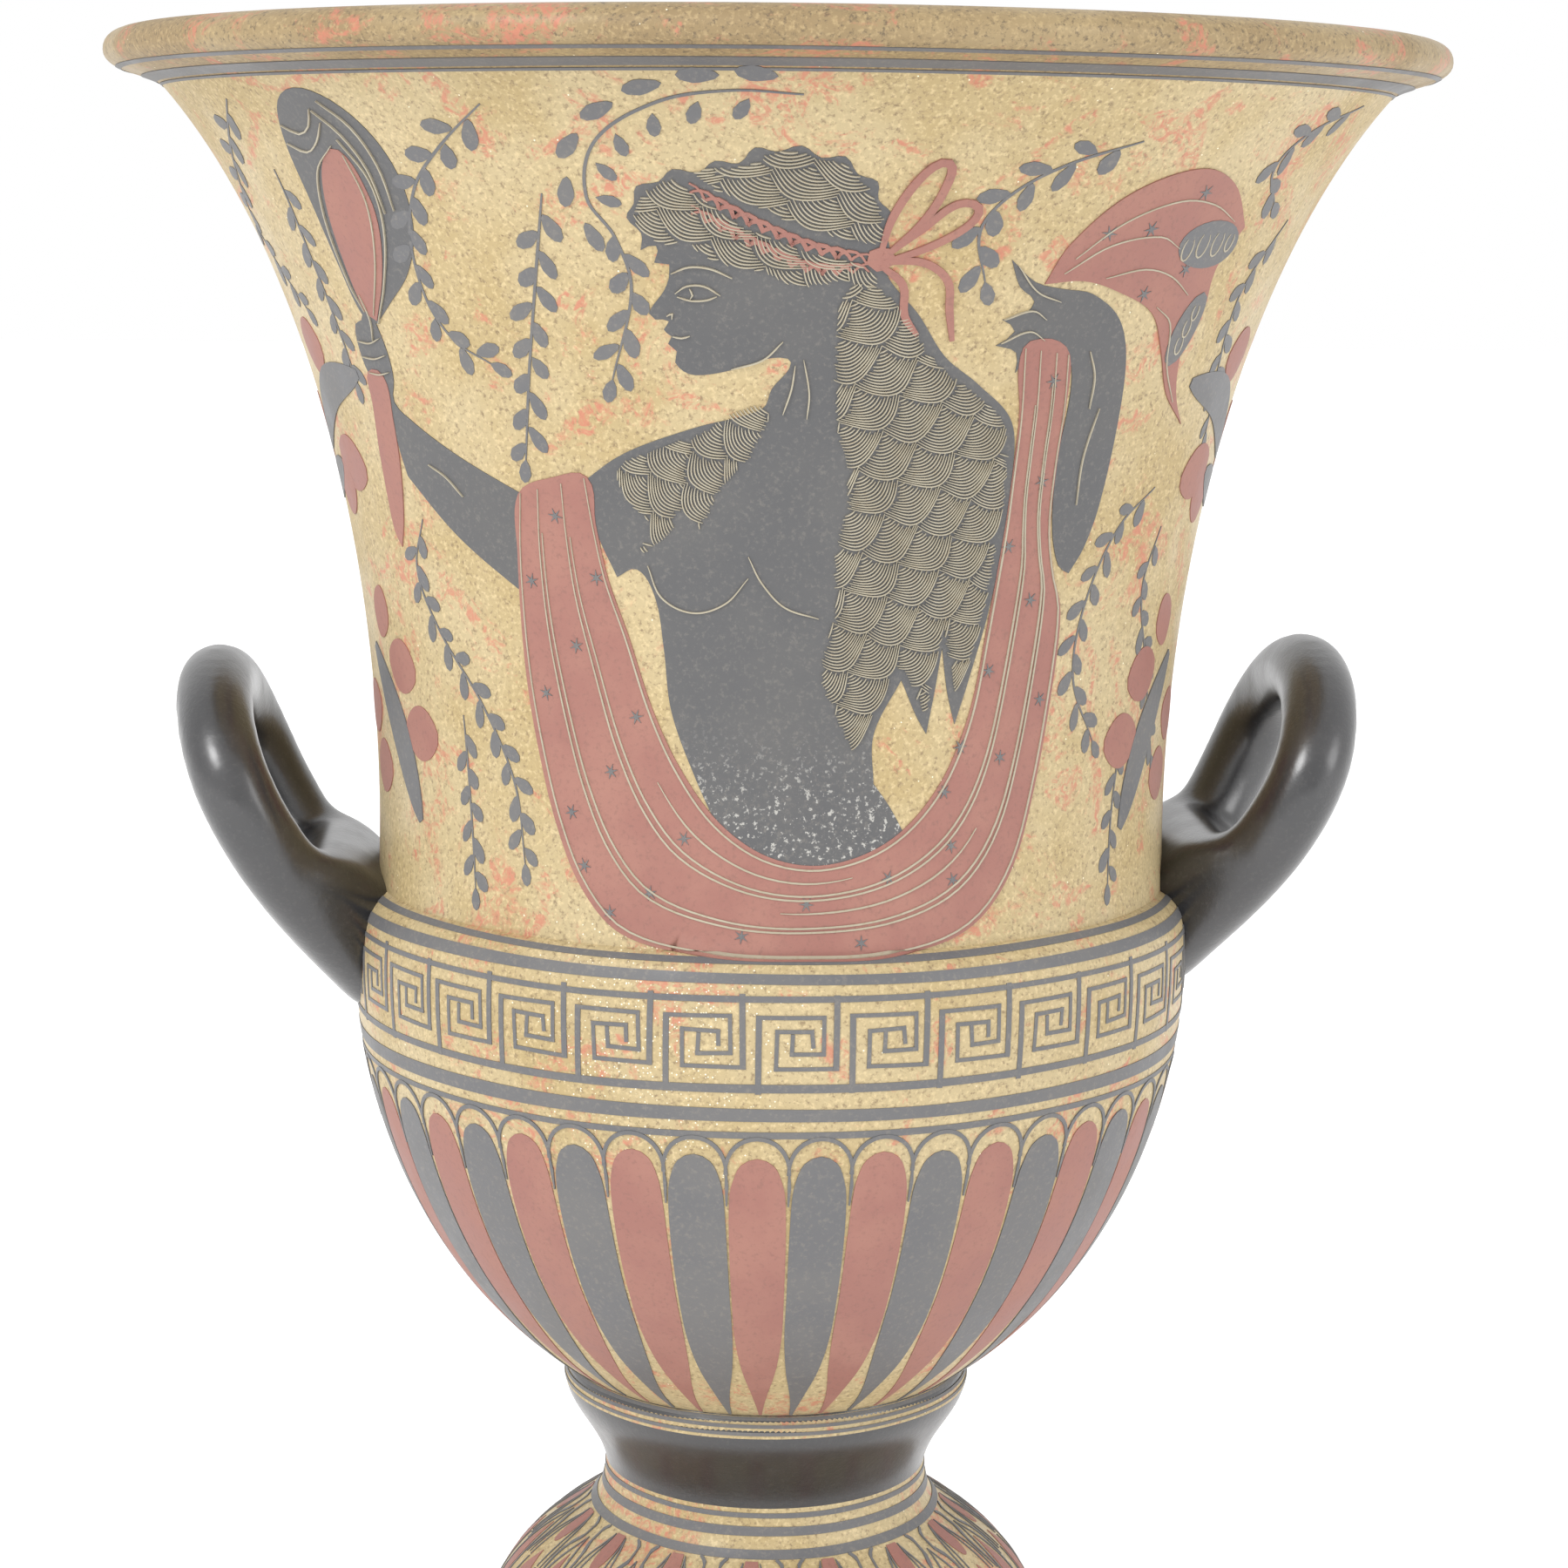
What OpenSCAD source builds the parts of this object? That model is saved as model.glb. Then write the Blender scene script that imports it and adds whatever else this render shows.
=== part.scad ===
// Calyx krater: a painted clay mixing bowl with two upturned handles.
// The frame has its origin at the centre of the base, +Z up, the picture facing -Y and the
// handles on +X and -X. The sections are luted together face to face in turned rebates.

/* [Mouth and wall] */
// Outer diameter over the lip
mouth_d = 200.8; // [190:0.2:215]
// Height of the lip moulding
lip_h = 8; // [7:0.5:10]
// How far the lip stands out past the top of the wall
lip_overhang = 8.4; // [6:0.2:10]
// Height of the flaring wall, from the bowl's shoulder to the lip
wall_h = 120; // [95:1:145]
// Thickness of the wall at its waist
wall_t = 6.5; // [5:0.5:8]
// Thickness of the wall at the lip, measured level
rim_t = 7.6; // [6:0.2:9]
// How far the flare swells out below the lip
flare = 10.6; // [8:0.2:14]

/* [Bowl] */
// Largest outer diameter of the bowl
bowl_d = 130; // [118:1:142]
// Height of the bowl, from the collar to the shoulder
bowl_h = 78; // [66:1:92]
// Depth of the shoulder above the bowl's widest place
shoulder_h = 10; // [9:0.5:12]
// How far the shoulder stands out past the wall's waist
shoulder_step = 4.5; // [3:0.5:6]
// Thickness of the bowl's side
bowl_t = 7.5; // [6:0.5:9]
// Thickness of the bowl's floor over the collar
floor_t = 8; // [6:0.5:10]

/* [Collar and foot] */
// Diameter of the foot's neck, below the collar
neck_d = 51.2; // [46:0.2:58]
// How far the black collar flares out past the neck
collar_flare = 5.7; // [4:0.1:8]
// Height of the collar
collar_h = 17; // [14:0.5:20]
// Height of the foot, from the table to the collar
foot_h = 43; // [36:1:52]
// Largest diameter of the domed foot
bell_d = 91; // [84:1:100]
// Thickness of the domed foot
bell_t = 7.5; // [6:0.5:9]
// Thickness of the hollow stem in the collar
stem_t = 6; // [4.5:0.5:8]
// How far the base ring stands out past the domed foot
base_step = 4; // [3:0.5:7]
// Height of the base ring
base_h = 11; // [10:0.5:13]

/* [Handles] */
// Thickness of a handle's loop
handle_t = 12; // [10:0.5:13]
// Half the spacing of a loop's two legs
handle_spread = 22; // [19:0.5:25]
// How far the right loop's middle line stands out from the bowl's side
reach_right = 19; // [14:0.5:25]
// How far the left loop's middle line stands out from the bowl's side
reach_left = 20; // [14:0.5:25]
// How far the right loop's middle line rises above the bowl's shoulder
rise_right = 32; // [26:0.5:38]
// How far the left loop's middle line rises above the bowl's shoulder
rise_left = 29; // [26:0.5:38]
// How far the right handle's root starts below the bowl's widest place
root_right = 2; // [0:0.5:8]
// How far the left handle's root starts below the bowl's widest place
root_left = 5.5; // [0:0.5:8]
// Extra depth of the root, where it climbs to meet the wall
root_rise = 5; // [3:0.5:7]
// Diameter of the pegs that hold a handle in the bowl's side
peg_d = 7; // [5:0.5:8]
// Depth of the pegs in the bowl's side
peg_depth = 5; // [3:0.5:5.5]

/* [Joints] */
// Depth of the turned rebates between the sections
rebate = 5; // [4:0.5:6]
// Width of a rebate's step, and of the ledge under the collar
ledge = 3.6; // [3:0.1:4.5]
// Height of the wall's tongue in the lip
tongue_h = 2.4; // [1.5:0.1:3]
// Thickness of that tongue
tongue_t = 2.8; // [2:0.1:3.5]
// Thickness of the slip between two sections; at 0 they meet face to face
slip_t = 0; // [0:0.05:0.2]

/* [Hidden] */
$fn = 180;

// Heights of the seams, from the table up
z_collar = foot_h;
z_bowl = z_collar + collar_h;
z_wall = z_bowl + bowl_h;
z_lip = z_wall + wall_h;
z_belly = z_wall - shoulder_h;
z_floor = z_bowl + floor_t;
z_boss = z_bowl - 0.35 * collar_h;

// Radii shared by neighbouring sections
bowl_r = bowl_d / 2;
waist_r = bowl_r - shoulder_step;
foot_in_r = waist_r - wall_t;
rebate_r = foot_in_r + ledge;
lip_r = mouth_d / 2;
rim_r = lip_r - lip_overhang;
rim_in_r = rim_r - rim_t;
tongue_r = rim_r - (rim_t - tongue_t) / 2;
neck_r = neck_d / 2;
spigot_r = neck_r - ledge;
stem_in_r = spigot_r - stem_t;
seat_r = neck_r + collar_flare;
bell_r = bell_d / 2;
bell_in_r = bell_r - bell_t;
bell_spigot_r = bell_r - ledge;
base_r = bell_r + base_step;
peg_in = bowl_r - peg_depth;

clay = "burlywood";
slip_black = [0.13, 0.12, 0.12];

// Point at t of a cubic Bezier curve, and n + 1 points along it
function at(c, t) = (1 - t) ^ 3 * c[0] + 3 * (1 - t) ^ 2 * t * c[1]
                  + 3 * (1 - t) * t ^ 2 * c[2] + t ^ 3 * c[3];
function curve(c, n = 14) = [for (i = [0 : n]) at(c, i / n)];
function unit(v) = v / norm(v);
function reversed(v) = [for (i = [len(v) - 1 : -1 : 0]) v[i]];

// Outside of the bowl: part of an ellipse from the collar's seat to the belly
bowl_drop = (z_belly - z_bowl) / sqrt(1 - (seat_r / bowl_r) ^ 2);
seat_a = asin((z_belly - z_bowl) / bowl_drop);
bowl_side = [for (i = [0 : 24]) let (a = -seat_a * (1 - i / 24))
    [bowl_r * cos(a), z_belly + bowl_drop * sin(a)]];

// Soft shoulder from the belly in to the foot of the wall
wall_foot_r = waist_r + 0.6;
shoulder = curve([[bowl_r, z_belly], [bowl_r, z_belly + 0.65 * shoulder_h],
                  [bowl_r - 0.6, z_wall - 1.5], [wall_foot_r, z_wall]], 10);

// Flare of the wall, outside and inside, from the shoulder up to the lip
function flare_curve(foot, slack, rim) = curve(
    [[foot, z_wall], [foot - slack, z_wall + 0.4 * wall_h],
     [foot - slack + 1.4 + flare, z_lip - 0.2 * wall_h], [rim, z_lip]], 28);
wall_out = flare_curve(wall_foot_r, 2, rim_r);
wall_in = flare_curve(foot_in_r, 1, rim_in_r);

// Inside of the bowl, from the middle of the floor up to the rebate
bowl_in_r = bowl_r - bowl_t;
bowl_in = concat(
    curve([[0, z_floor], [0.74 * bowl_in_r, z_floor], [bowl_in_r + 0.5, z_floor + 0.3 * bowl_h],
           [bowl_in_r, z_belly - shoulder_h]], 20),
    curve([[bowl_in_r, z_belly - shoulder_h], [bowl_in_r + 0.5, z_belly - 3],
           [foot_in_r + 2, z_belly + 2], [foot_in_r, z_wall - rebate]], 8));

// Ring on the axis with a flat top and bottom
module ring(r_in, r_out, z0, z1) {
    rotate_extrude() translate([r_in, z0]) square([r_out - r_in, z1 - z0]);
}

// Plain turned ring that the vessel stands on
module base_ring() {
    edge = concat(curve([[base_r - 2.5, 0], [base_r, 1], [base_r + 0.4, 0.55 * base_h],
                         [base_r - 1.5, 0.77 * base_h]], 8),
                  curve([[base_r - 1.5, 0.77 * base_h], [base_r - 2.4, 0.89 * base_h],
                         [bell_r + 0.8, base_h], [bell_r, base_h]], 6));
    color(slip_black) difference() {
        rotate_extrude() polygon(concat([[bell_in_r, 0]], edge, [[bell_in_r, base_h]]));
        ring(0, bell_spigot_r + slip_t, base_h - rebate, base_h + 1);
    }
}

// Hollow domed foot: its stem stands up into the collar, its spigot down into the base ring
module foot_bell() {
    hip = [neck_r + 4.9, z_collar - 9.4];
    neck = curve([[neck_r, z_collar], [neck_r, z_collar - 5.5], hip + [-3.1, 2.2], hip], 8);
    dome = curve([hip, hip + [8, -5.1], [bell_r, 0.45 * foot_h + 2], [bell_r, base_h]], 18);
    hollow = curve([[bell_in_r, base_h], [bell_in_r, 0.42 * foot_h],
                    [stem_in_r + 7, z_collar - 17], [stem_in_r, z_collar - 8]], 16);
    color(clay) {
        rotate_extrude() polygon(concat([[stem_in_r, z_collar]], neck, dome, hollow));
        ring(stem_in_r, spigot_r, z_collar, z_boss);
        ring(bell_in_r, bell_spigot_r, base_h - rebate, base_h);
    }
}

// Black moulded ring, threaded by the foot's stem from below and the bowl's boss from above
module collar() {
    side = curve([[neck_r, z_collar], [neck_r + 1.4, z_collar + 0.44 * collar_h],
                  [seat_r + 3.4, z_bowl - 0.32 * collar_h], [seat_r, z_bowl]], 16);
    bore = spigot_r + slip_t;
    color(slip_black) rotate_extrude() polygon(concat([[bore, z_collar]], side, [[bore, z_bowl]]));
}

// Bowl with its floor, the boss under it, the rebate for the wall and the sockets for the pegs
module bowl() {
    color(clay) difference() {
        union() {
            rotate_extrude() polygon(concat([[0, z_bowl]], bowl_side, shoulder,
                                            [[foot_in_r, z_wall]], reversed(bowl_in)));
            ring(0, spigot_r, z_boss, z_bowl);
        }
        ring(0, rebate_r + slip_t, z_wall - rebate, z_wall + 1);
        for (side = [-1, 1]) pegs(side, slip_t);
    }
}

// Tall flaring wall, with a spigot down into the bowl and a tongue up into the lip
module calyx_wall() {
    color(clay) {
        rotate_extrude() polygon(concat(wall_out, reversed(wall_in)));
        ring(foot_in_r, rebate_r, z_wall - rebate, z_wall);
        ring(tongue_r - tongue_t, tongue_r, z_lip, z_lip + tongue_h);
    }
}

// Rounded lip, grooved underneath for the wall's tongue
module lip_ring() {
    crown = [rim_r - 3, z_lip + 0.8 * lip_h];
    bead = [lip_r, z_lip + 0.6 * lip_h];
    under = curve([[rim_r, z_lip], [rim_r + 2.4, z_lip + 1.8],
                   [lip_r, z_lip + 0.22 * lip_h], bead], 10);
    over = curve([bead, [lip_r, z_lip + 1.1 * lip_h],
                  [rim_r + 1.5, z_lip + 1.06 * lip_h], crown], 12);
    inner = curve([crown, crown - [2, 0.14 * lip_h],
                   [rim_in_r + 1.2, z_lip + 0.35 * lip_h], [rim_in_r, z_lip]], 6);
    color(clay) difference() {
        rotate_extrude() polygon(concat(under, over, inner));
        ring(tongue_r - tongue_t - slip_t, tongue_r + slip_t, z_lip - 1,
             z_lip + tongue_h + slip_t);
    }
}

// Two round pegs that stick out of the handle's root into the bowl's side
module pegs(side, gap) {
    for (y = [-1.15, 1.15] * peg_d)
        translate([side * peg_in, y, z_belly]) rotate([0, side * 90, 0])
            cylinder(h = peg_depth, d = peg_d + 2 * gap);
}

// Middle line of a handle seen from the side, rising from inside the bowl's wall
function spine(reach, rise, drop) =
    [[bowl_r - 5, z_belly - drop], [bowl_r - 4 + reach / 2, z_belly + 14 - drop],
     [bowl_r + reach - 4.5, z_belly + 21], [bowl_r + reach, z_wall + rise]];
function spine_dir(c, t) = unit(at(c, min(t + 0.01, 1)) - at(c, min(t + 0.01, 1) - 0.02));

// Half the spacing of the two legs, which run together at the root
leg_top = 0.74;
root_y = handle_t / 2 + 1;
function leg_y(t) = at([root_y, root_y + 7, handle_spread, handle_spread], min(t / leg_top, 1));

// The loop's path as [across, along the spine]: up one leg, over the top, down the other
leg = [for (i = [0 : 22]) [leg_y(leg_top * i / 22), leg_top * i / 22]];
loop_path = concat(
    leg,
    [for (a = [82 : -8.2 : -82]) [handle_spread * sin(a), leg_top + (1 - leg_top) * cos(a)]],
    [for (p = reversed(leg)) [-p[0], p[1]]]);

// Closed skin over a list of rings of points
module skin(rings) {
    m = len(rings[0]);
    n = len(rings);
    sides = [for (i = [0 : n - 2], j = [0 : m - 1])
        [i * m + j, i * m + (j + 1) % m, (i + 1) * m + (j + 1) % m, (i + 1) * m + j]];
    ends = [[for (j = [m - 1 : -1 : 0]) j], [for (j = [0 : m - 1]) (n - 1) * m + j]];
    polyhedron([for (r = rings) for (p = r) p], concat(sides, ends), convexity = 6);
}

// The round loop, swept along its path
module loop(c) {
    mid = [for (p = loop_path) let (q = at(c, p[1])) [q[0], p[0], q[1]]];
    last = len(mid) - 1;
    skin([for (i = [0 : last]) let (
        along = unit(mid[min(i + 1, last)] - mid[max(i - 1, 0)]),
        d = spine_dir(c, loop_path[i][1]),
        out = [d[1], 0, -d[0]],
        across = unit(cross(along, out)))
        [for (a = [0 : 15 : 345]) mid[i] + handle_t / 2 * (cos(a) * across + sin(a) * out)]]);
}

// The web that fills the space between the legs at the root and rises to meet the wall
module web(c) {
    steps = 14;
    top = 0.46;
    skin([for (i = [0 : steps]) let (
        t = top * i / steps,
        d = spine_dir(c, t),
        low = handle_t / 2,
        high = low + root_rise * (1 - (i / steps) ^ 5),
        q = at(c, t) + (high - low) / 2 * [-d[1], d[0]])
        [for (a = [0 : 15 : 345]) let (
            y = (cos(a) >= 0 ? 1 : -1) * leg_y(t) + handle_t / 2 * cos(a),
            up = -(high + low) / 2 * sin(a))
            [q[0] - up * d[1], y, q[1] + up * d[0]]]]);
}

// One handle: loop and web, trimmed to sit flush on the pot, with its pegs
module handle(side, reach, rise, drop) {
    c = spine(reach, rise, drop);
    color(slip_black) resize([0, 0, 0]) union() {
        difference() {
            mirror([side < 0 ? 1 : 0, 0, 0]) {
                loop(c);
                web(c);
            }
            rotate_extrude() polygon(concat([[0, z_bowl]], bowl_side, shoulder, wall_out,
                                            [[0, z_lip]]));
        }
        pegs(side, 0);
    }
}

module handle_left() {
    handle(-1, reach_left, rise_left, root_left);
}

module handle_right() {
    handle(1, reach_right, rise_right, root_right);
}

base_ring();
foot_bell();
collar();
bowl();
calyx_wall();
lip_ring();
handle_left();
handle_right();
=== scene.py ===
# A painted clay krater: a tall mixing bowl of turned sections luted together, with two
# pulled handles, burnished gold-ochre and painted in black and red slip.
# Sizes are in millimetres, and MM takes them to Blender's metres.
import math
import random

import bmesh
import bpy
from mathutils import Matrix, Vector
from mathutils.geometry import interpolate_bezier


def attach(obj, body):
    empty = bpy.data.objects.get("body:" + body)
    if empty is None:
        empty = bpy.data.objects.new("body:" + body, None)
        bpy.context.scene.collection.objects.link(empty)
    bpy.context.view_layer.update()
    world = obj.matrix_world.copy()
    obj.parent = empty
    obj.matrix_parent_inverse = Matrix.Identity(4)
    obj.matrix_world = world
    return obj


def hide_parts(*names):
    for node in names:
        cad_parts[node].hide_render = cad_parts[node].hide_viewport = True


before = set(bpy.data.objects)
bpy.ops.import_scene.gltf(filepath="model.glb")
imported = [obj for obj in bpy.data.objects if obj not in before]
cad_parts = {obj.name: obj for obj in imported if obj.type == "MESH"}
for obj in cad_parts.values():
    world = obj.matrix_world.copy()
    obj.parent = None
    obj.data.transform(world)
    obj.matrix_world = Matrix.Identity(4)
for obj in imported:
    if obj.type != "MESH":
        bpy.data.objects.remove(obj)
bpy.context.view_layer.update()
MM = 0.001

# ---------------------------------------------------------------------------------------
# Base ring: the turned ring that the pot stands on, dipped in black slip and fired satin.
# The wheel throws it as a closed section, and every other turned piece is made the same way.
TURNS = 240
SHARP = math.radians(35)


def bow(points, steps):
    """Points along one Bezier curve of four points, across and up."""
    flat = [Vector((x, y, 0)) for x, y in points]
    return [(p.x, p.y) for p in interpolate_bezier(*flat, steps + 1)]


def mesh_of(name, b):
    """A finished bmesh as a mesh."""
    mesh = bpy.data.meshes.new(name)
    b.to_mesh(mesh)
    b.free()
    return mesh


def placed(name, data):
    """A new object in the scene from its mesh, lamp or camera."""
    thing = bpy.data.objects.new(name, data)
    bpy.context.scene.collection.objects.link(thing)
    return thing


def as_piece(name, b, coats, cad_node=None):
    """Turns a finished bmesh into a piece that rides on the pot."""
    mesh = mesh_of(name, b)
    for coat in coats:
        mesh.materials.append(coat)
    piece = placed(name, mesh)
    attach(piece, "root")
    if cad_node:
        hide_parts(cad_node)
    return piece


def smooth_faces(b):
    """Shades the faces smooth, and keeps the edges that are sharp."""
    for face in b.faces:
        face.smooth = True
    for edge in b.edges:
        if len(edge.link_faces) == 2 and edge.calc_face_angle(0) > SHARP:
            edge.smooth = False


def spun(b, ring, edges):
    """Throws a closed section: one full turn round the pot's axis."""
    bmesh.ops.spin(b, geom=ring + edges, cent=(0, 0, 0), axis=(0, 0, 1), dvec=(0, 0, 0),
                   angle=math.tau, steps=TURNS, use_merge=True, use_duplicate=False)


def turned(section, inside=None):
    """Spins a closed section round the pot's axis. inside(r, z) says which faces are coat 1."""
    b = bmesh.new()
    ring = [b.verts.new((r * MM, 0, z * MM)) for r, z in section]
    pairs = [(v, w) for v, w in zip(ring, ring[1:] + ring[:1]) if v.co.x + w.co.x > 1e-9]
    spun(b, ring, [b.edges.new(pair) for pair in pairs])
    bmesh.ops.remove_doubles(b, verts=b.verts, dist=1e-6)
    bmesh.ops.recalc_face_normals(b, faces=b.faces)
    if inside:
        for face in b.faces:
            mid = face.calc_center_median()
            face.material_index = int(inside(math.hypot(mid.x, mid.y) / MM, mid.z / MM))
    smooth_faces(b)
    return b


def node(tree, kind, **settings):
    """Adds a shader node. A setting is a socket's name with its value or the output it takes."""
    made = tree.nodes.new(kind)
    for key in [k for k in settings if hasattr(made, k)]:
        setattr(made, key, settings.pop(key))
    for key, value in settings.items():
        name = key.replace("_", " ")
        name = name if name in made.inputs else {"A": 0, "B": 1}.get(name, name)
        if isinstance(value, bpy.types.NodeSocket):
            tree.links.new(value, made.inputs[name])
        else:
            made.inputs[name].default_value = value
    return made


NOISE_SCALE = 600.0  # the noise scale whose features are about a millimetre across


def noise(tree, where, size, detail=2.0, rough=0.5, twist=0.0):
    """Noise with its features about size millimetres across."""
    return node(tree, "ShaderNodeTexNoise", Vector=where, Scale=NOISE_SCALE / size,
                Detail=detail, Roughness=rough, Distortion=twist).outputs["Fac"]


def step(tree, value, low, high, to_low=0.0, to_high=1.0):
    """A soft step from one value to another."""
    return node(tree, "ShaderNodeMapRange", interpolation_type="SMOOTHSTEP", Value=value,
                From_Min=low, From_Max=high, To_Min=to_low, To_Max=to_high).outputs["Result"]


def blend(tree, amount, below, above):
    """Two colours mixed by a mask."""
    mix = tree.nodes.new("ShaderNodeMix")
    mix.data_type = "RGBA"
    for socket, value in zip((mix.inputs[0], mix.inputs[6], mix.inputs[7]),
                             (amount, below, above)):
        if isinstance(value, bpy.types.NodeSocket):
            tree.links.new(value, socket)
        else:
            socket.default_value = value
    return mix.outputs[2]


def sum_of(tree, operation, first, second):
    """Arithmetic on two values."""
    return node(tree, "ShaderNodeMath", operation=operation, A=first, B=second).outputs[0]


def slip_group():
    """Fired slip: cloudy patches from the brush, and fine grains of clay showing through."""
    group = bpy.data.node_groups.new("fired slip", "ShaderNodeTree")
    face = group.interface
    for name, kind in (("Slip", "Color"), ("Cloud", "Color"), ("Grain", "Color"),
                       ("Cloud Size", "Float"), ("Cloud Amount", "Float"),
                       ("Grain Amount", "Float")):
        face.new_socket(name, in_out="INPUT", socket_type="NodeSocket" + kind)
    for name, kind in (("Colour", "Color"), ("Polish", "Float"), ("Height", "Float")):
        face.new_socket(name, in_out="OUTPUT", socket_type="NodeSocket" + kind)
    given = group.nodes.new("NodeGroupInput").outputs
    where = group.nodes.new("ShaderNodeTexCoord").outputs["Object"]
    scale = sum_of(group, "DIVIDE", NOISE_SCALE, given["Cloud Size"])
    cloud = node(group, "ShaderNodeTexNoise", Vector=where, Scale=scale, Detail=4.0,
                 Roughness=0.6).outputs["Fac"]
    patchy = sum_of(group, "MULTIPLY", step(group, cloud, 0.35, 0.68), given["Cloud Amount"])
    fine = noise(group, where, 0.45, 3.0, 0.7)
    specks = sum_of(group, "MULTIPLY", step(group, fine, 0.5, 0.72), given["Grain Amount"])
    colour = blend(group, specks, blend(group, patchy, given["Slip"], given["Cloud"]),
                   given["Grain"])
    out = group.nodes.new("NodeGroupOutput")
    group.links.new(colour, out.inputs["Colour"])
    group.links.new(step(group, cloud, 0.3, 0.7), out.inputs["Polish"])
    group.links.new(sum_of(group, "ADD", fine, cloud), out.inputs["Height"])
    return group


FIRED_SLIP = slip_group()


def slip_coat(name, slip, cloud, grain, cloud_size, cloud_amount, grain_amount,
              polish=(0.38, 0.52), bump=0.00006, coat=0.0, sheen=0.5):
    """A finish of fired slip, and its node tree for whatever is added to it."""
    finish = bpy.data.materials.new(name)
    finish.use_nodes = True
    tree = finish.node_tree
    shader = tree.nodes["Principled BSDF"]
    body = node(tree, "ShaderNodeGroup", node_tree=FIRED_SLIP)
    for socket, value in (("Slip", slip), ("Cloud", cloud), ("Grain", grain)):
        body.inputs[socket].default_value = (*value, 1)
    body.inputs["Cloud Size"].default_value = cloud_size
    body.inputs["Cloud Amount"].default_value = cloud_amount
    body.inputs["Grain Amount"].default_value = grain_amount
    tree.links.new(body.outputs["Colour"], shader.inputs["Base Color"])
    tree.links.new(step(tree, body.outputs["Polish"], 0.0, 1.0, *polish),
                   shader.inputs["Roughness"])
    relief = node(tree, "ShaderNodeBump", Strength=0.5, Distance=bump,
                  Height=body.outputs["Height"])
    tree.links.new(relief.outputs["Normal"], shader.inputs["Normal"])
    shader.inputs["Specular IOR Level"].default_value = sheen
    shader.inputs["Coat Weight"].default_value = coat
    shader.inputs["Coat Roughness"].default_value = 0.27
    shader.inputs["Coat IOR"].default_value = 1.7
    return finish, tree, shader, body


satin_black = slip_coat("satin black slip", (0.011, 0.011, 0.013), (0.022, 0.021, 0.023),
                        (0.06, 0.058, 0.056), 9.0, 0.7, 0.25, polish=(0.3, 0.44),
                        bump=0.00012, coat=0.7)[0]

FOOT_R, BASE_R, BASE_H, BELL_IN_R = 45.5, 49.5, 11.0, 38.0
base_edge = (bow([(BASE_R - 2.5, 0), (BASE_R, 1), (BASE_R + 0.4, 6.05), (BASE_R - 1.5, 8.5)], 10)
             + bow([(BASE_R - 1.5, 8.5), (BASE_R - 2.4, 9.8), (FOOT_R + 0.8, BASE_H),
                    (FOOT_R, BASE_H)], 8)[1:])
as_piece("turned_base_ring", turned([(BELL_IN_R, 0)] + base_edge + [(BELL_IN_R, BASE_H)]),
         [satin_black], "base_ring")

# ---------------------------------------------------------------------------------------
# Domed foot: hollow, turned, luted to the base ring, and its stem stands up into the collar.
# Burnished ochre ground, as on the bowl and the wall, with kiln blushes of red.
NECK_R, STEM_IN_R, Z_COLLAR = 25.6, 16.0, 43.0
PALE_GRAIN = 1.45  # how much brighter the pale grains are than the ochre round them
KILN_RED, FLECK_AND_GLINT = (0.50, 0.17, 0.11, 1), (1.0, 0.93, 0.72, 1)
FLECK_CELLS = 3000.0  # cells to the metre, of which a few are bright flecks
GLINT_SPOT, GLINT_EDGE, GLINT_CORE = (-19, -61, 125.5), 26, 6  # where the flecks crowd into a painted glint of light
FEW, MANY = 0.9985, 0.86  # a cell is a fleck when its random number is above this


def ochre_ground(name, slip, cloud, grain, grain_amount):
    """Ochre with pale grains, red kiln blushes, and bright flecks that gather into a painted
    glint.
    """
    gold, tree, shader, body = slip_coat(name, slip, cloud, grain, 14.0, 0.7, grain_amount,
                                         polish=(0.42, 0.6), bump=0.0001, sheen=0.45)
    where = tree.nodes.new("ShaderNodeTexCoord").outputs["Object"]
    pale = step(tree, noise(tree, where, 0.38, 2.0, 0.6), 0.48, 0.72, 0.0, 0.55)
    lit = blend(tree, pale, body.outputs["Colour"], (*[PALE_GRAIN * part for part in slip], 1))
    patches = step(tree, noise(tree, where, 9.0, 6.0, 0.66, 1.4), 0.535, 0.6)
    threads = step(tree, noise(tree, where, 1.6, 4.0, 0.7, 2.0), 0.42, 0.62)
    blush = sum_of(tree, "MULTIPLY", sum_of(tree, "MULTIPLY", patches, threads), 0.8)
    blushed = blend(tree, blush, lit, KILN_RED)
    flake = node(tree, "ShaderNodeTexVoronoi", Vector=where, Scale=FLECK_CELLS)
    picked = node(tree, "ShaderNodeSeparateColor", Color=flake.outputs["Color"]).outputs[0]
    near = step(tree, flake.outputs["Distance"], 0.45, 0.2)
    # bright flecks, few all over, crowd near one spot on the front left as a painted glint of
    # light
    glint_distance = node(tree, "ShaderNodeVectorMath", operation="DISTANCE", Vector=where)
    glint_distance.inputs[1].default_value = [part * MM for part in GLINT_SPOT]
    rare = step(tree, glint_distance.outputs["Value"], GLINT_EDGE * MM, GLINT_CORE * MM, FEW, MANY)
    above = sum_of(tree, "GREATER_THAN", picked, rare)
    spark = sum_of(tree, "MULTIPLY", above, near)
    tree.links.new(blend(tree, spark, blushed, FLECK_AND_GLINT), shader.inputs["Base Color"])
    return gold


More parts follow.
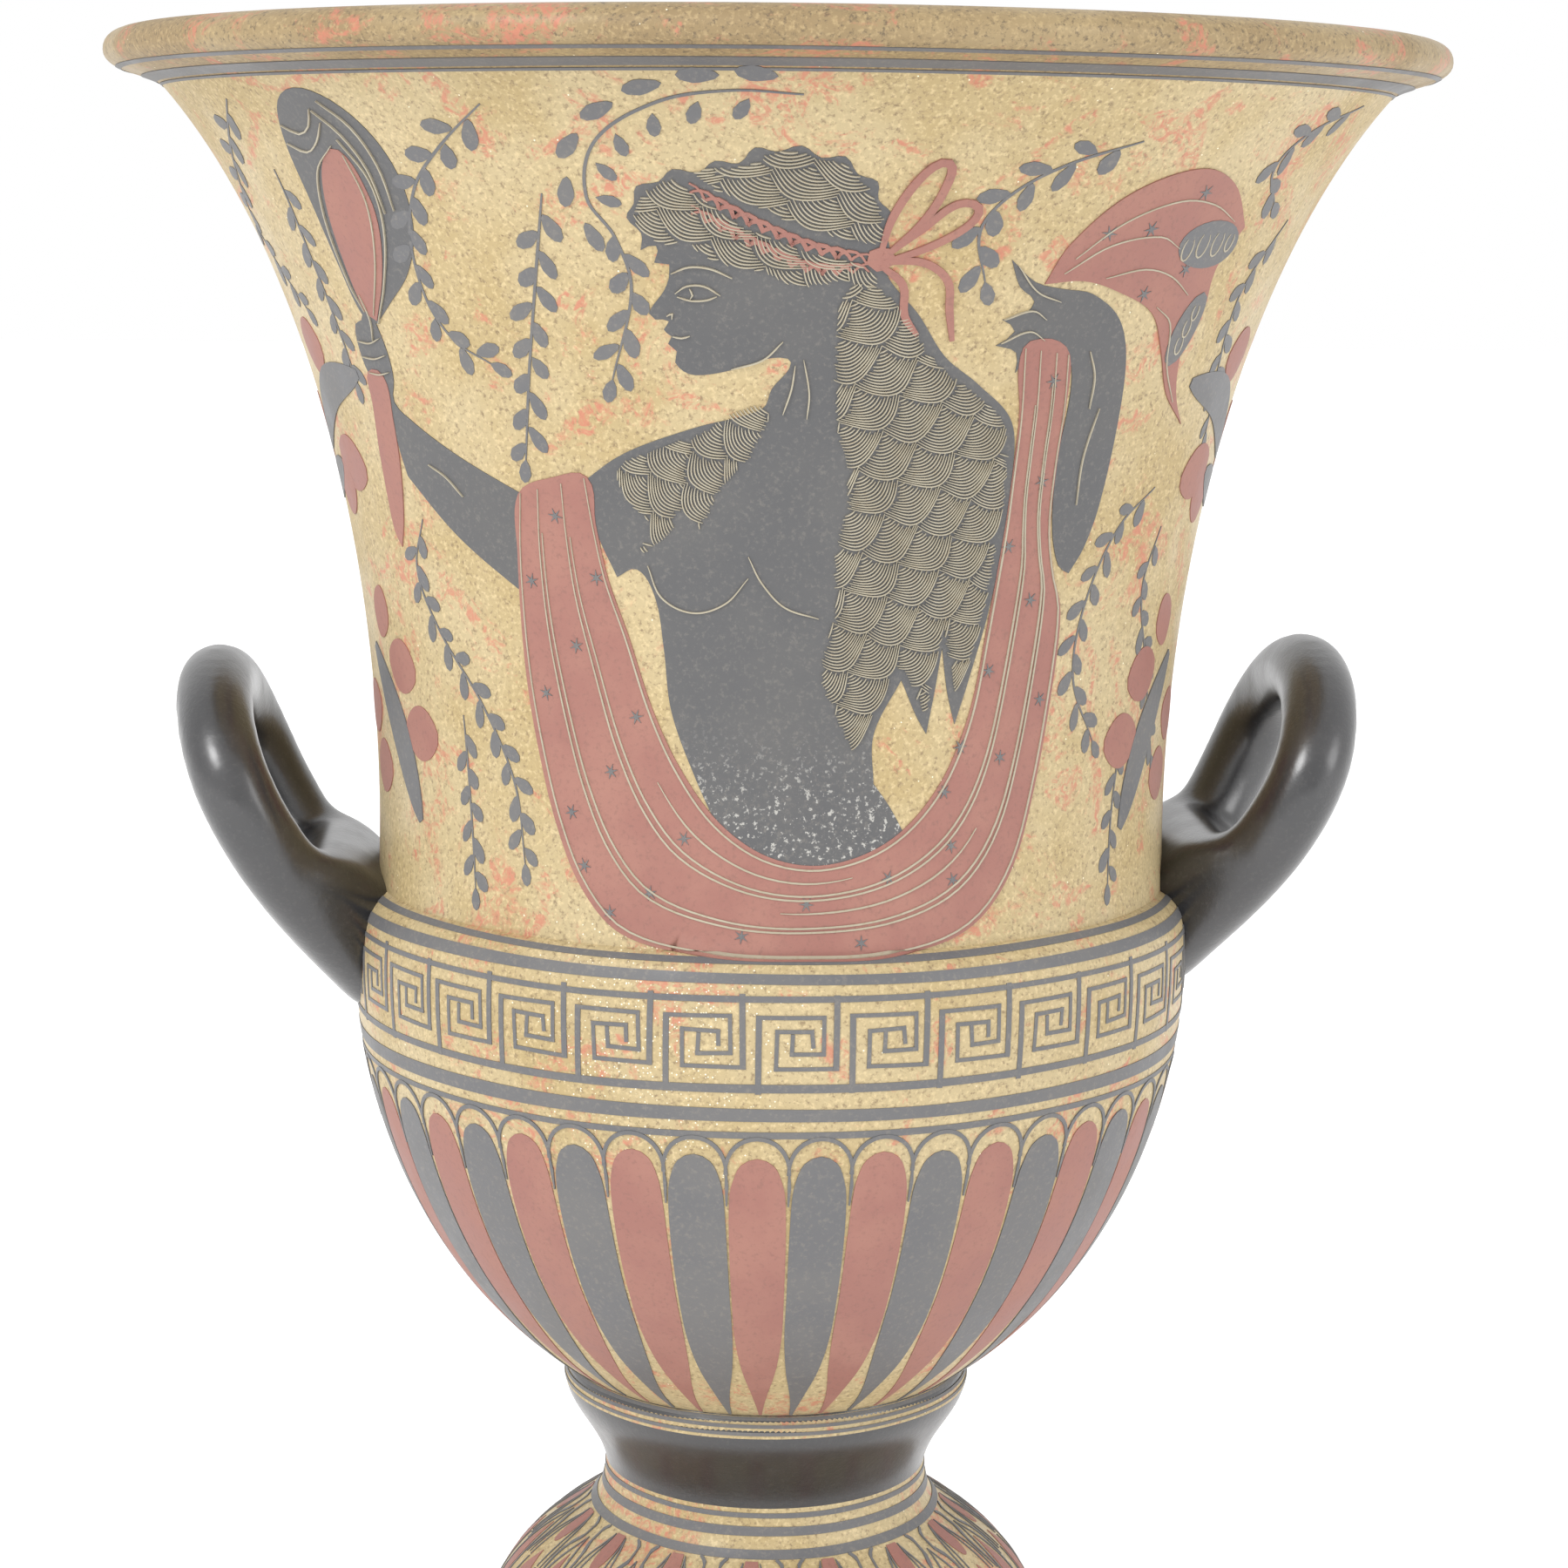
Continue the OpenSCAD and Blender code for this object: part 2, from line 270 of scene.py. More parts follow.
gold = ochre_ground("burnished ochre ground", (0.47, 0.375, 0.21), (0.385, 0.28, 0.12),
                    (0.19, 0.13, 0.07), 0.8)
hip = (NECK_R + 4.9, Z_COLLAR - 9.4)
neck_side = bow([(NECK_R, Z_COLLAR), (NECK_R, Z_COLLAR - 5.5), (hip[0] - 3.1, hip[1] + 2.2),
                 hip], 12)
dome_side = bow([hip, (hip[0] + 8, hip[1] - 5.1), (FOOT_R, 21.35), (FOOT_R, BASE_H)], 26)
hollow = bow([(BELL_IN_R, BASE_H), (BELL_IN_R, 18.1), (STEM_IN_R + 7, Z_COLLAR - 17),
              (STEM_IN_R, Z_COLLAR - 8)], 16)
as_piece("domed_foot", turned(neck_side + dome_side[1:] + hollow + [(STEM_IN_R, Z_COLLAR)]),
         [gold], "foot_bell")

# ---------------------------------------------------------------------------------------
# Collar: the moulding between foot and bowl, turned and threaded on the foot's stem. It is in
# the base ring's satin black, up to the ochre and the three fine lines painted on its top edge.
Z_BOWL, SEAT_R, SPIGOT_R = 60.0, 31.3, 22.0
collar_side = bow([(NECK_R, Z_COLLAR), (NECK_R + 1.4, 50.5), (SEAT_R + 3.4, 54.6),
                   (SEAT_R, Z_BOWL)], 22)
as_piece("turned_collar", turned([(SPIGOT_R, Z_COLLAR)] + collar_side + [(SPIGOT_R, Z_BOWL)]),
         [satin_black], "collar")

# ---------------------------------------------------------------------------------------
# Bowl: thrown with a thick floor, ochre outside and black slip inside. It sits on the
# collar, and its soft shoulder takes the spigot of the wall.
BOWL_R, WAIST_R, Z_BELLY, Z_WALL, Z_FLOOR = 65.0, 60.5, 128.0, 138.0, 68.0
BOWL_IN_R, FOOT_IN_R = 57.5, 54.0
inner_black = slip_coat("black slip lining", (0.05, 0.047, 0.045), (0.085, 0.07, 0.06),
                        (0.16, 0.13, 0.1), 16.0, 0.8, 0.4, polish=(0.4, 0.56))[0]
drop = (Z_BELLY - Z_BOWL) / math.sqrt(1 - (SEAT_R / BOWL_R) ** 2)
low = math.asin((Z_BELLY - Z_BOWL) / drop)
bowl_side = [(BOWL_R * math.cos(low * (1 - i / 40)), Z_BELLY - drop * math.sin(low * (1 - i / 40)))
             for i in range(41)]
shoulder = bow([(BOWL_R, Z_BELLY), (BOWL_R, 134.5), (64.4, 136.5), (WAIST_R + 0.6, Z_WALL)], 12)
bowl_in = (bow([(0, Z_FLOOR), (42.55, Z_FLOOR), (BOWL_IN_R + 0.5, 91.4), (BOWL_IN_R, 118)], 24)
           + bow([(BOWL_IN_R, 118), (BOWL_IN_R + 0.5, 125), (FOOT_IN_R + 2, 130),
                  (FOOT_IN_R, Z_WALL)], 10)[1:])


def lined(line):
    """Tells the faces that lie along a line of the section, where the lining goes."""
    known = {}

    def on_line(r, z):
        key = (round(r, 1), round(z, 1))
        if key not in known:
            known[key] = min(math.hypot(r - x, z - y) for x, y in line) < 2.2
        return known[key]

    return on_line


as_piece("thrown_bowl", turned([(0, Z_BOWL)] + bowl_side + shoulder[1:] + bowl_in[::-1],
                        lined(bowl_in)), [gold, inner_black], "bowl")

# ---------------------------------------------------------------------------------------
# Wall and lip: the tall flaring wall, thrown in one piece and let into the bowl's shoulder,
# and the thick rolled lip that closes it. Ochre outside and over the lip, black inside.
Z_LIP, RIM_R, RIM_IN_R, LIP_R = 258.0, 92.0, 84.4, 100.4
wall_out = bow([(WAIST_R + 0.6, Z_WALL), (WAIST_R - 1.4, 186), (71.1, 234), (RIM_R, Z_LIP)], 44)
wall_in = bow([(FOOT_IN_R, Z_WALL), (FOOT_IN_R - 1, 186), (64.0, 234), (RIM_IN_R, Z_LIP)], 44)
as_piece("flaring_wall", turned(wall_out + wall_in[::-1], lined(wall_in)),
         [gold, inner_black], "calyx_wall")
# the lip's ochre is darker than the wall's
lip_ochre = ochre_ground("darker ochre of the lip", (0.33, 0.245, 0.125), (0.24, 0.165, 0.08),
                           (0.11, 0.08, 0.05), 0.9)
lip_under = bow([(RIM_R, Z_LIP), (RIM_R + 2.4, 259.8), (LIP_R, 259.76), (LIP_R, 262.8)], 14)
lip_over = bow([(LIP_R, 262.8), (LIP_R, 266.8), (RIM_R + 1.5, 266.5), (RIM_R - 3, 264.4)], 16)
lip_in = bow([(RIM_R - 3, 264.4), (RIM_R - 5, 263.3), (RIM_IN_R + 1.2, 260.8),
              (RIM_IN_R, Z_LIP)], 10)
as_piece("rolled_lip", turned(lip_under + lip_over[1:] + lip_in[1:],
                              lambda r, z: r < RIM_R - 3.5 and z > Z_LIP + 0.5),
         [lip_ochre, inner_black], "lip_ring")

# ---------------------------------------------------------------------------------------
# Handles: each is a roll of clay pulled round, bent into an upturned loop and luted to the
# bowl's side with two pegs. Its two legs run together at the root, and all of it is slipped.
HANDLE_R, SPREAD = 6.0, 22.0  # the roll's radius, and half the width of the loop
LEG_TOP, WEB_TOP = 0.74, 0.46  # shares of the reach where the legs and the clay between them end
WEB_DEEP, ROLL_SIDES, CUT_R = 2.5, 28, 58.3  # CUT_R is where the root ends in the bowl's side
WELD, SPONGED = 0.9, 22  # the grain of the weld, and the wipes of the sponge that smooth it


def at_share(points, t):
    """The point at share t of one Bezier curve."""
    weights = ((1 - t) ** 3, 3 * (1 - t) ** 2 * t, 3 * (1 - t) * t * t, t ** 3)
    return sum((Vector(p) * w for p, w in zip(points, weights)), Vector((0,) * len(points[0])))


def leg_spacing(t):
    """Half the gap between the legs' middles at share t of the reach."""
    return at_share([(7, 0), (14, 0), (SPREAD, 0), (SPREAD, 0)], min(t / LEG_TOP, 1)).x


def loft(b, frames, slot_half=None, high=None):
    """Rings of clay along a path, each bridged to the next and closed at both ends."""
    before = None
    for i, (spot, across, out) in enumerate(frames):
        way = across.cross(out)
        place = Matrix((across, out, way)).transposed().to_4x4()
        place.translation = spot
        made = bmesh.ops.create_circle(b, cap_ends=False, segments=ROLL_SIDES, radius=HANDLE_R,
                                       matrix=place)["verts"]
        if slot_half:
            for v in made:
                local = place.inverted() @ v.co
                local.x += math.copysign(slot_half[i], local.x)
                local.y *= high[i] / HANDLE_R
                v.co = place @ local
        ring = list({e for v in made for e in v.link_edges})
        if before:
            bmesh.ops.bridge_loops(b, edges=before + ring)
        before = ring
    bmesh.ops.holes_fill(b, edges=[e for e in b.edges if len(e.link_faces) == 1])


def pulled_handle(name, side, reach, rise, root, cad_node):
    """A loop and the web at its root, welded, smoothed and cut off inside the bowl's side."""
    spine = [(60, Z_BELLY - root), (61 + reach / 2, Z_BELLY + 14 - root),
             (60.5 + reach, Z_BELLY + 21), (BOWL_R + reach, Z_WALL + rise)]

    def place(y, t):
        x, z = at_share(spine, t)
        return Vector((x, y, z))

    def lean(t):
        way = (place(0, min(t + 0.01, 1)) - place(0, min(t + 0.01, 1) - 0.02)).normalized()
        return way, Vector((way.z, 0, -way.x))

    leg = [(leg_spacing(LEG_TOP * i / 26), LEG_TOP * i / 26) for i in range(27)]
    over = [(SPREAD * math.sin(math.radians(a)),
             LEG_TOP + (1 - LEG_TOP) * math.cos(math.radians(a))) for a in range(84, -85, -7)]
    path = leg + over + [(-y, t) for y, t in leg[::-1]]
    mids = [place(*p) for p in path]
    frames = []
    for i, (y, t) in enumerate(path):
        along = (mids[min(i + 1, len(path) - 1)] - mids[max(i - 1, 0)]).normalized()
        across = along.cross(lean(t)[1]).normalized()
        frames.append((mids[i], across, along.cross(across)))
    b = bmesh.new()
    loft(b, frames)
    frames, halves, highs = [], [], []
    for i in range(17):
        t = WEB_TOP * i / 16
        way, out = lean(t)
        high = HANDLE_R + WEB_DEEP * (1 - (i / 16) ** 5)
        frames.append((place(0, t) - (high - HANDLE_R) * out, Vector((0, 1, 0)), out))
        halves.append(leg_spacing(t))
        highs.append(high)
    loft(b, frames, halves, highs)
    for v in b.verts:
        v.co = Vector((side * v.co.x, v.co.y, v.co.z)) * MM
    bmesh.ops.recalc_face_normals(b, faces=b.faces)
    wet = placed("wet clay", mesh_of("wet clay", b))
    weld = wet.modifiers.new("weld", "REMESH")
    weld.mode, weld.voxel_size = "VOXEL", WELD * MM
    welded = bpy.data.meshes.new_from_object(
        wet.evaluated_get(bpy.context.evaluated_depsgraph_get()))
    bpy.data.objects.remove(wet)
    b = bmesh.new()
    b.from_mesh(welded)
    for _ in range(SPONGED):
        bmesh.ops.smooth_vert(b, verts=b.verts, factor=0.5, use_axis_x=True, use_axis_y=True,
                              use_axis_z=True)
    bmesh.ops.bisect_plane(b, geom=b.verts[:] + b.edges[:] + b.faces[:], dist=1e-7,
                           plane_co=(side * CUT_R * MM, 0, 0), plane_no=(-side, 0, 0),
                           clear_outer=True)
    bmesh.ops.holes_fill(b, edges=[e for e in b.edges if len(e.link_faces) == 1])
    bmesh.ops.recalc_face_normals(b, faces=b.faces)
    for face in b.faces:
        face.smooth = True
    as_piece(name, b, [satin_black], cad_node)


pulled_handle("right_handle", 1, 19, 32, 2, "handle_right")
pulled_handle("left_handle", -1, 20.6, 30, 5.5, "handle_left")

# ---------------------------------------------------------------------------------------
# Painted bands: rings of slip laid on with a brush while the pot turns on the wheel, so each
# is a raised film about a tenth of a millimetre thick that wavers a little.
black_paint = slip_coat("black painted slip", (0.125, 0.125, 0.13), (0.16, 0.155, 0.15),
                        (0.27, 0.24, 0.2), 8.0, 0.6, 0.35, polish=(0.42, 0.58), sheen=0.4)[0]
CHART_R = 65.0  # a length across the flat paint chart is an angle round the pot times this
PICTURE_TURN = math.radians(-4)  # the painter centred the picture a little left of the front
profile = (dome_side[::-1] + neck_side[::-1][1:] + collar_side[1:] + bowl_side[1:]
           + shoulder[1:] + wall_out[1:] + lip_under[1:])


def skin(z):
    """The outside's radius at a height, and the way it faces, out and up."""
    z = min(max(z, profile[0][1] + 0.01), profile[-1][1] - 0.01)
    low, high = 0, len(profile) - 1
    while high - low > 1:
        mid = (low + high) // 2
        low, high = (mid, high) if profile[mid][1] <= z else (low, mid)
    (r0, z0), (r1, z1) = profile[low], profile[high]
    long = math.hypot(r1 - r0, z1 - z0)
    return r0 + (r1 - r0) * (z - z0) / (z1 - z0), (z1 - z0) / long, -(r1 - r0) / long


def on_pot(across, z, lift):
    """Where a point of the flat paint chart goes on the pot's skin."""
    r, out, up = skin(z)
    angle = across / CHART_R + PICTURE_TURN
    r += lift * out
    return Vector((r * math.sin(angle), -r * math.cos(angle), z + lift * up)) * MM


FILM, ROOT = 0.12, 0.12  # how far a film of slip stands out of the clay, and into it


def brushed_rings(bands, waver=0.12, film=FILM):
    """Closed films round the pot, each from (height, width)."""
    b = bmesh.new()
    for height, width in bands:
        section = [(CHART_R + lift, height + width * t)
                   for lift, ts in ((-ROOT, (-0.5, 0, 0.5)), (film, (0.5, 0, -0.5)))
                   for t in ts]
        ring = [b.verts.new((r, 0, z)) for r, z in section]
        spun(b, ring, [b.edges.new(pair) for pair in zip(ring, ring[1:] + ring[:1])])
    bmesh.ops.recalc_face_normals(b, faces=b.faces)
    for v in b.verts:
        angle = math.atan2(v.co.x, -v.co.y)
        sway = waver * (math.sin(3 * angle + v.co.z) + 0.6 * math.sin(8 * angle + 2))
        v.co = on_pot(angle * CHART_R, v.co.z + sway, math.hypot(v.co.x, v.co.y) - CHART_R)
    smooth_faces(b)
    return b


as_piece("foot_lines", brushed_rings([(41.9, 0.8), (39.4, 1.4), (36.3, 1.2)], 0.05),
         [black_paint])
as_piece("collar_ground", brushed_rings([(58.2, 3.3)], 0.05, 0.07), [gold])
as_piece("collar_lines", brushed_rings([(59.5, 0.5), (58.4, 0.5), (57.3, 0.5)], 0.04, 0.15),
         [black_paint])
as_piece("bowl_lines", brushed_rings([(112.5, 0.9), (115.4, 2.0), (119.4, 1.1), (132.2, 0.8),
                                      (134.9, 1.5)]), [black_paint])
as_piece("shoulder_line", brushed_rings([(137.2, 0.7)], 0.1), [black_paint])
as_piece("lip_lines", brushed_rings([(257.95, 0.33), (258.85, 0.9), (260.4, 0.36)], 0.04),
         [black_paint])

# ---------------------------------------------------------------------------------------
# Key pattern: a meander of two arms that wind into each other, drawn with a narrow brush
# between the bands of the bowl. Each arm is five straight strokes, set down a little unevenly.
hand = random.Random(7)


def flow(points, closed=True, gap=1.2):
    """A smooth line through points; a point with a third value is a corner."""
    spots = [Vector((*p[:2], 0)) for p in points]
    count = len(spots)
    line = []
    for i in range(count if closed else count - 1):
        j = (i + 1) % count
        reach = (spots[j] - spots[i]).length / 3

        def lead(k, other):
            ends = not closed and k in (0, count - 1)
            if len(points[k]) > 2 or ends:
                return (spots[other] - spots[k]).normalized() * reach
            way = (spots[(k + 1) % count] - spots[k - 1]).normalized() * reach
            return way if other == (k + 1) % count else -way

        line += interpolate_bezier(spots[i], spots[i] + lead(i, j), spots[j] + lead(j, i),
                                   spots[j], max(2, round(3 * reach / gap) + 1))[:-1]
    return [(p.x, p.y) for p in line] + ([] if closed else [tuple(points[-1][:2])])


class Ribbon(list):
    """The outline of a stroke: up its left side, and down its right."""


def stroke(line, width, tip=0.35):
    """A brush stroke along a line, narrower at its two ends."""
    spots = [Vector(p) for p in line]
    left, right = [], []
    for i, spot in enumerate(spots):
        before, after = spots[max(i - 1, 0)], spots[min(i + 1, len(spots) - 1)]
        ways = [w.normalized() for w in (spot - before, after - spot) if w.length > 1e-6]
        way = sum(ways, Vector((0, 0))).normalized()
        side = Vector((-way.y, way.x))
        open_out = 1 / max(0.6, abs(way.dot(ways[0])))
        t = i / (len(spots) - 1)
        full = tip + (1 - tip) * min(1.0, 5 * min(t, 1 - t)) if tip < 1 else 1
        left.append(tuple(spot + side * width / 2 * full * open_out))
        right.append(tuple(spot - side * width / 2 * full * open_out))
    return Ribbon(left + right[::-1])


def painted(outlines, film=FILM, cell=3.0, rungs=True):
    """Lays outlines of the flat chart on the pot as closed films of slip. An outline is a
    closed line, or a list of lines where the later ones are holes in the first."""
    b = bmesh.new()
    for i, outline in enumerate(outlines):
        lines = outline if isinstance(outline[0], list) else [outline]
        rise = -(film + 0.008 * (i % 4))
        loops = [[b.verts.new((u, rise, z)) for u, z in line] for line in lines]
        if isinstance(outline, Ribbon):
            half = len(lines[0]) // 2
            for k in range(half - 1):
                b.faces.new((loops[0][k], loops[0][k + 1], loops[0][-2 - k], loops[0][-1 - k]))
        elif len(loops) == 1:
            b.faces.new(loops[0])
        else:
            bmesh.ops.triangle_fill(b, use_beauty=True, edges=[
                b.edges.new(pair) for loop in loops for pair in zip(loop, loop[1:] + loop[:1])])
    b.normal_update()
    bmesh.ops.triangulate(b, faces=b.faces[:])
    across = [v.co.x for v in b.verts]
    up = [v.co.z for v in b.verts]
    cuts = [((k * cell, 0, 0), (1, 0, 0))
            for k in range(math.ceil(min(across) / cell), math.ceil(max(across) / cell))]
    if rungs:
        cuts += [((0, 0, k * cell), (0, 0, 1))
                 for k in range(math.ceil(min(up) / cell), math.ceil(max(up) / cell))]
    for at, way in cuts:
        bmesh.ops.bisect_plane(b, geom=b.verts[:] + b.edges[:] + b.faces[:], dist=1e-4,
                               plane_co=at, plane_no=way)
    bmesh.ops.triangulate(b, faces=b.faces[:])
    bmesh.ops.recalc_face_normals(b, faces=b.faces[:])
    b.normal_update()
    left = set(b.faces)
    while left:  # a stroke may fold in a tight bend, so a whole patch is turned, not a face
        patch = [left.pop()]
        for face in patch:
            near = {other for edge in face.edges for other in edge.link_faces} & left
            left -= near
            patch.extend(near)
        if sum(face.normal.y * face.calc_area() for face in patch) > 0:
            for face in patch:
                face.normal_flip()
    bmesh.ops.solidify(b, geom=b.faces[:], thickness=film + ROOT)
    for v in b.verts:
        v.co = on_pot(v.co.x, v.co.z, -v.co.y)
    smooth_faces(b)
    return b


KEYS, KEY_START, KEY_LOW, KEY_HIGH = 31, 5.4, 119.8, 132.0
KEY_POST, KEY_LINE, KEY_LAP = 0.85, 0.58, 0.3  # widths of the strokes, and their overlap
pitch = math.tau * CHART_R / KEYS
rising = [(0, -0.06), (0, 0.82), (0.7, 0.82), (0.7, 0.39), (0.355, 0.39), (0.355, 0.6)]
falling = [(0.83, 1.05), (0.83, 0.22), (0.19, 0.22), (0.19, 0.65), (0.57, 0.65), (0.57, 0.49)]
key_strokes = []
for i in range(KEYS):
    for arm in (rising, falling):
        spots = [(KEY_START + (i + x + hand.uniform(-0.01, 0.01)) * pitch - math.pi * CHART_R,
                  KEY_LOW + (y + hand.uniform(-0.012, 0.012)) * (KEY_HIGH - KEY_LOW))
                 for x, y in arm]
        for k, (start, end) in enumerate(zip(spots, spots[1:])):
            way = (Vector(end) - Vector(start)).normalized() * KEY_LAP
            key_strokes.append(stroke([Vector(start) - way, Vector(end) + way],
                                      KEY_LINE if k else KEY_POST, 1))
as_piece("key_pattern", painted(key_strokes), [black_paint])

# ---------------------------------------------------------------------------------------
# Tongues: upright leaves of black and red slip in turn round the bowl, each under a drawn
# arch and coming to a point at the collar. The red is an iron wash, a little chalky.
red_paint = slip_coat("red iron slip", (0.30, 0.135, 0.11), (0.36, 0.18, 0.14),
                      (0.21, 0.11, 0.09), 7.0, 0.65, 0.5, polish=(0.48, 0.64), sheen=0.35)[0]
TONGUES, TONGUE_START, TONGUE_TOP, TONGUE_FOOT = 44, 8.0, 109.3, 60.5
ARCH_FOOT, ARCH_RISE = 106.0, 6.0
leaf_gap = math.tau * CHART_R / TONGUES
tongue_black, tongue_red, arches = [], [], []
for i in range(TONGUES):
    at = TONGUE_START + i * leaf_gap - math.pi * CHART_R
    half = leaf_gap / 2 - 0.25 + hand.uniform(-0.12, 0.06)
    top, foot = TONGUE_TOP + hand.uniform(-0.4, 0.4), TONGUE_FOOT
    right = [(0.94, 103), (1, 96), (1.01, 86), (0.99, 78), (0.8, 71.5), (0.44, 66.3), (0.2, 62.6)]
    side = [(at + half * x, z) for x, z in right]
    other = [(at - half * x, z) for x, z in right[::-1]]
    shape = flow([(at, top), (at + 0.55 * half, top - 1.1), (at + 0.82 * half, top - 3.6)] + side
                 + [(at + 0.45, foot, 1), (at - 0.45, foot, 1)] + other
                 + [(at - 0.82 * half, top - 3.6), (at - 0.55 * half, top - 1.1)], gap=1.1)
    (tongue_red if i % 2 else tongue_black).append(shape)
    arches.append(stroke([(at + leaf_gap / 2 * 1.02 * math.sin(math.radians(a)),
                           ARCH_FOOT + ARCH_RISE * math.cos(math.radians(a)) ** 0.8)
                          for a in range(-88, 89, 11)], 0.6, 0.8))
    arches.append(stroke([(at + leaf_gap / 2, 107.4), (at + leaf_gap / 2 + 0.1, 104.6),
                          (at + leaf_gap / 2, 101.5)], 0.55, 0.4))
as_piece("black_tongues", painted(tongue_black, film=0.16), [black_paint])
as_piece("red_tongues", painted(tongue_red, film=0.12), [red_paint])
as_piece("tongue_arches", painted(arches, film=0.2, rungs=False), [black_paint])

# ---------------------------------------------------------------------------------------
# Foot frieze: red lotus petals between curling black tendrils, painted freehand round the
# dome of the foot below its three lines.
LOTUS = 15
petals, tendrils = [], []
for i in range(LOTUS):
    at = (i + 0.35) * math.tau * CHART_R / LOTUS - math.pi * CHART_R
    wide = math.tau * CHART_R / LOTUS / 2
    petals.append(flow([(at - 2.2, 35.4, 1), (at + 2.2, 35.4, 1), (at + 2.9, 33.2),
                        (at + 1.8, 31.4), (at, 30.8), (at - 1.8, 31.4), (at - 2.9, 33.2)]))
    petals.append(flow([(at, 29.4, 1), (at + 3.0, 26.2), (at + 3.2, 21.4), (at + 1.7, 16.4),
                        (at, 14.2), (at - 1.7, 16.4), (at - 3.2, 21.4), (at - 3.0, 26.2)]))
    petals.append(flow([(at + wide, 31.2, 1), (at + wide + 2.3, 27.2), (at + wide + 2.1, 22.4),
                        (at + wide, 17.4, 1), (at + wide - 2.1, 22.4), (at + wide - 2.3, 27.2)]))
    for way in (-1, 1):
        for spread in (4.2, 6.2):
            tendrils.append(stroke(flow([(at + way * 2.9, 35.2), (at + way * spread, 31.8),
                                         (at + way * (spread + 0.5), 27.8)], False), 0.4))
        hook = at + way * 8.4
        tendrils += [
            stroke(flow([(hook, 35.6), (hook + way * 2.4, 34.8), (hook + way * 2.4, 33.2),
                         (hook + way * 0.4, 32.0), (hook - way * 0.3, 30.0),
                         (hook + way * 0.5, 27.4)], False), 0.75),
            stroke(flow([(at + way * 4.4, 27.6), (at + way * 5.2, 22), (at + way * 3.2, 16),
                         (at + way * 0.6, 13)], False), 0.5),
            stroke(flow([(at + way * wide, 33.4), (at + way * (wide - 3.2), 29.2),
                         (at + way * (wide - 3.5), 23.6), (at + way * (wide - 1.8), 18),
                         (at + way * wide, 15)], False), 0.6)]
as_piece("lotus_petals", painted(petals), [red_paint])
as_piece("lotus_tendrils", painted(tendrils, film=0.18, rungs=False), [black_paint])

# ---------------------------------------------------------------------------------------
# The goddess: a half figure in black slip with a round mirror, her hair down her back. Body,
# forearm and raised arm are filled areas of slip, laid before the red of the mantle.
forehead = (-11.7, 233.4)
profile_line = [(-11.9, 231.6), (-12.6, 229.9), (-14.6, 226.9), (-13.9, 226.1, 1),
                (-12.3, 225.9), (-13.0, 224.8), (-12.1, 223.9, 1), (-12.6, 222.9),
                (-11.6, 221.9), (-11.9, 220.4), (-10.3, 218.9), (-7.7, 218.9),
                (-3.7, 219.9), (-0.1, 221.2), (2.1, 220.6)]
body = flow([forehead + (1,)] + profile_line + [
    (-0.2, 217), (-1.4, 214.3), (-9.6, 211.7), (-17, 209), (-21, 207), (-25, 204.2, 1),
    (-24.3, 196.7), (-21.8, 190.6, 1), (-18.8, 191.8), (-16.4, 188), (-15.4, 181),
    (-14.5, 172), (-11, 162.6), (-7.6, 156), (-3, 150.4), (8, 147.5), (17, 150.5),
    (20.4, 154.6, 1), (18, 158.6), (15.4, 162, 1), (15.2, 169), (19, 176.6, 1),
    (21.6, 171.4), (23.3, 168.8, 1), (24.3, 175), (25, 181, 1), (26.3, 174.6), (27.8, 170, 1),
    (29.6, 176), (32, 186), (33, 196), (33, 205), (31.6, 212.4), (26, 217.6), (21, 221.4),
    (17, 227), (12.6, 232.4), (12.7, 235.4), (12.1, 237.8), (12.4, 240.2), (10.8, 242),
    (10.5, 244.3), (8.4, 245.2), (7, 247.4), (4.6, 247.2), (2.6, 248.7), (0.2, 247.9),
    (-2, 248.4), (-3.6, 246.4), (-6, 246.7), (-7.8, 245.2), (-10.4, 245.6), (-12, 244),
    (-14.4, 243.4), (-14.9, 241.2), (-15.9, 239.4), (-14.5, 237.4), (-14.8, 235.2, 1),
    (-13, 235.8), (-13.4, 233.6, 1)], gap=0.8)
forearm = flow([(-35.5, 201.6, 1), (-46, 206.5), (-54, 211), (-56.8, 213.4), (-55.6, 216.5),
                (-55.3, 219.5), (-55.6, 222.6), (-56.4, 226.4), (-57.6, 229.2, 1), (-58, 226),
                (-59, 224.8), (-60.8, 224.2), (-61.8, 221.8), (-61.6, 218), (-60, 214.4),
                (-58.6, 210.6), (-58.2, 206), (-57.6, 202.8, 1), (-48.7, 195), (-37, 187.4, 1)])
raised_arm = flow([(27.2, 234.4, 1), (31, 231.4), (35, 230.5), (39.5, 229.8), (45, 226.2),
                   (48.3, 220), (49.8, 210), (49.5, 200), (47.9, 194.2), (45.6, 190.6, 1),
                   (43.4, 191.8), (41.2, 197.2), (40, 206.5), (39.9, 216), (38.4, 221),
                   (35, 222.4), (32.4, 221.6), (30.8, 219.2, 1), (30.4, 221.9),
                   (27.4, 222.9, 1), (29.6, 224.8), (27.6, 226.4, 1), (30.4, 227.2),
                   (31.4, 228.8), (29, 230.8)])
flesh, flesh_tree, flesh_shader, flesh_body = slip_coat(
    "black figure slip", (0.092, 0.092, 0.095), (0.12, 0.117, 0.114), (0.24, 0.22, 0.19),
    12.0, 0.6, 0.3, polish=(0.4, 0.55), sheen=0.4)
PALE_TOP, PALE_FULL = 0.172, 0.155  # pale specks grow between these heights in metres, thickest lower down
where = flesh_tree.nodes.new("ShaderNodeTexCoord").outputs["Object"]
height = node(flesh_tree, "ShaderNodeSeparateXYZ", Vector=where).outputs["Z"]
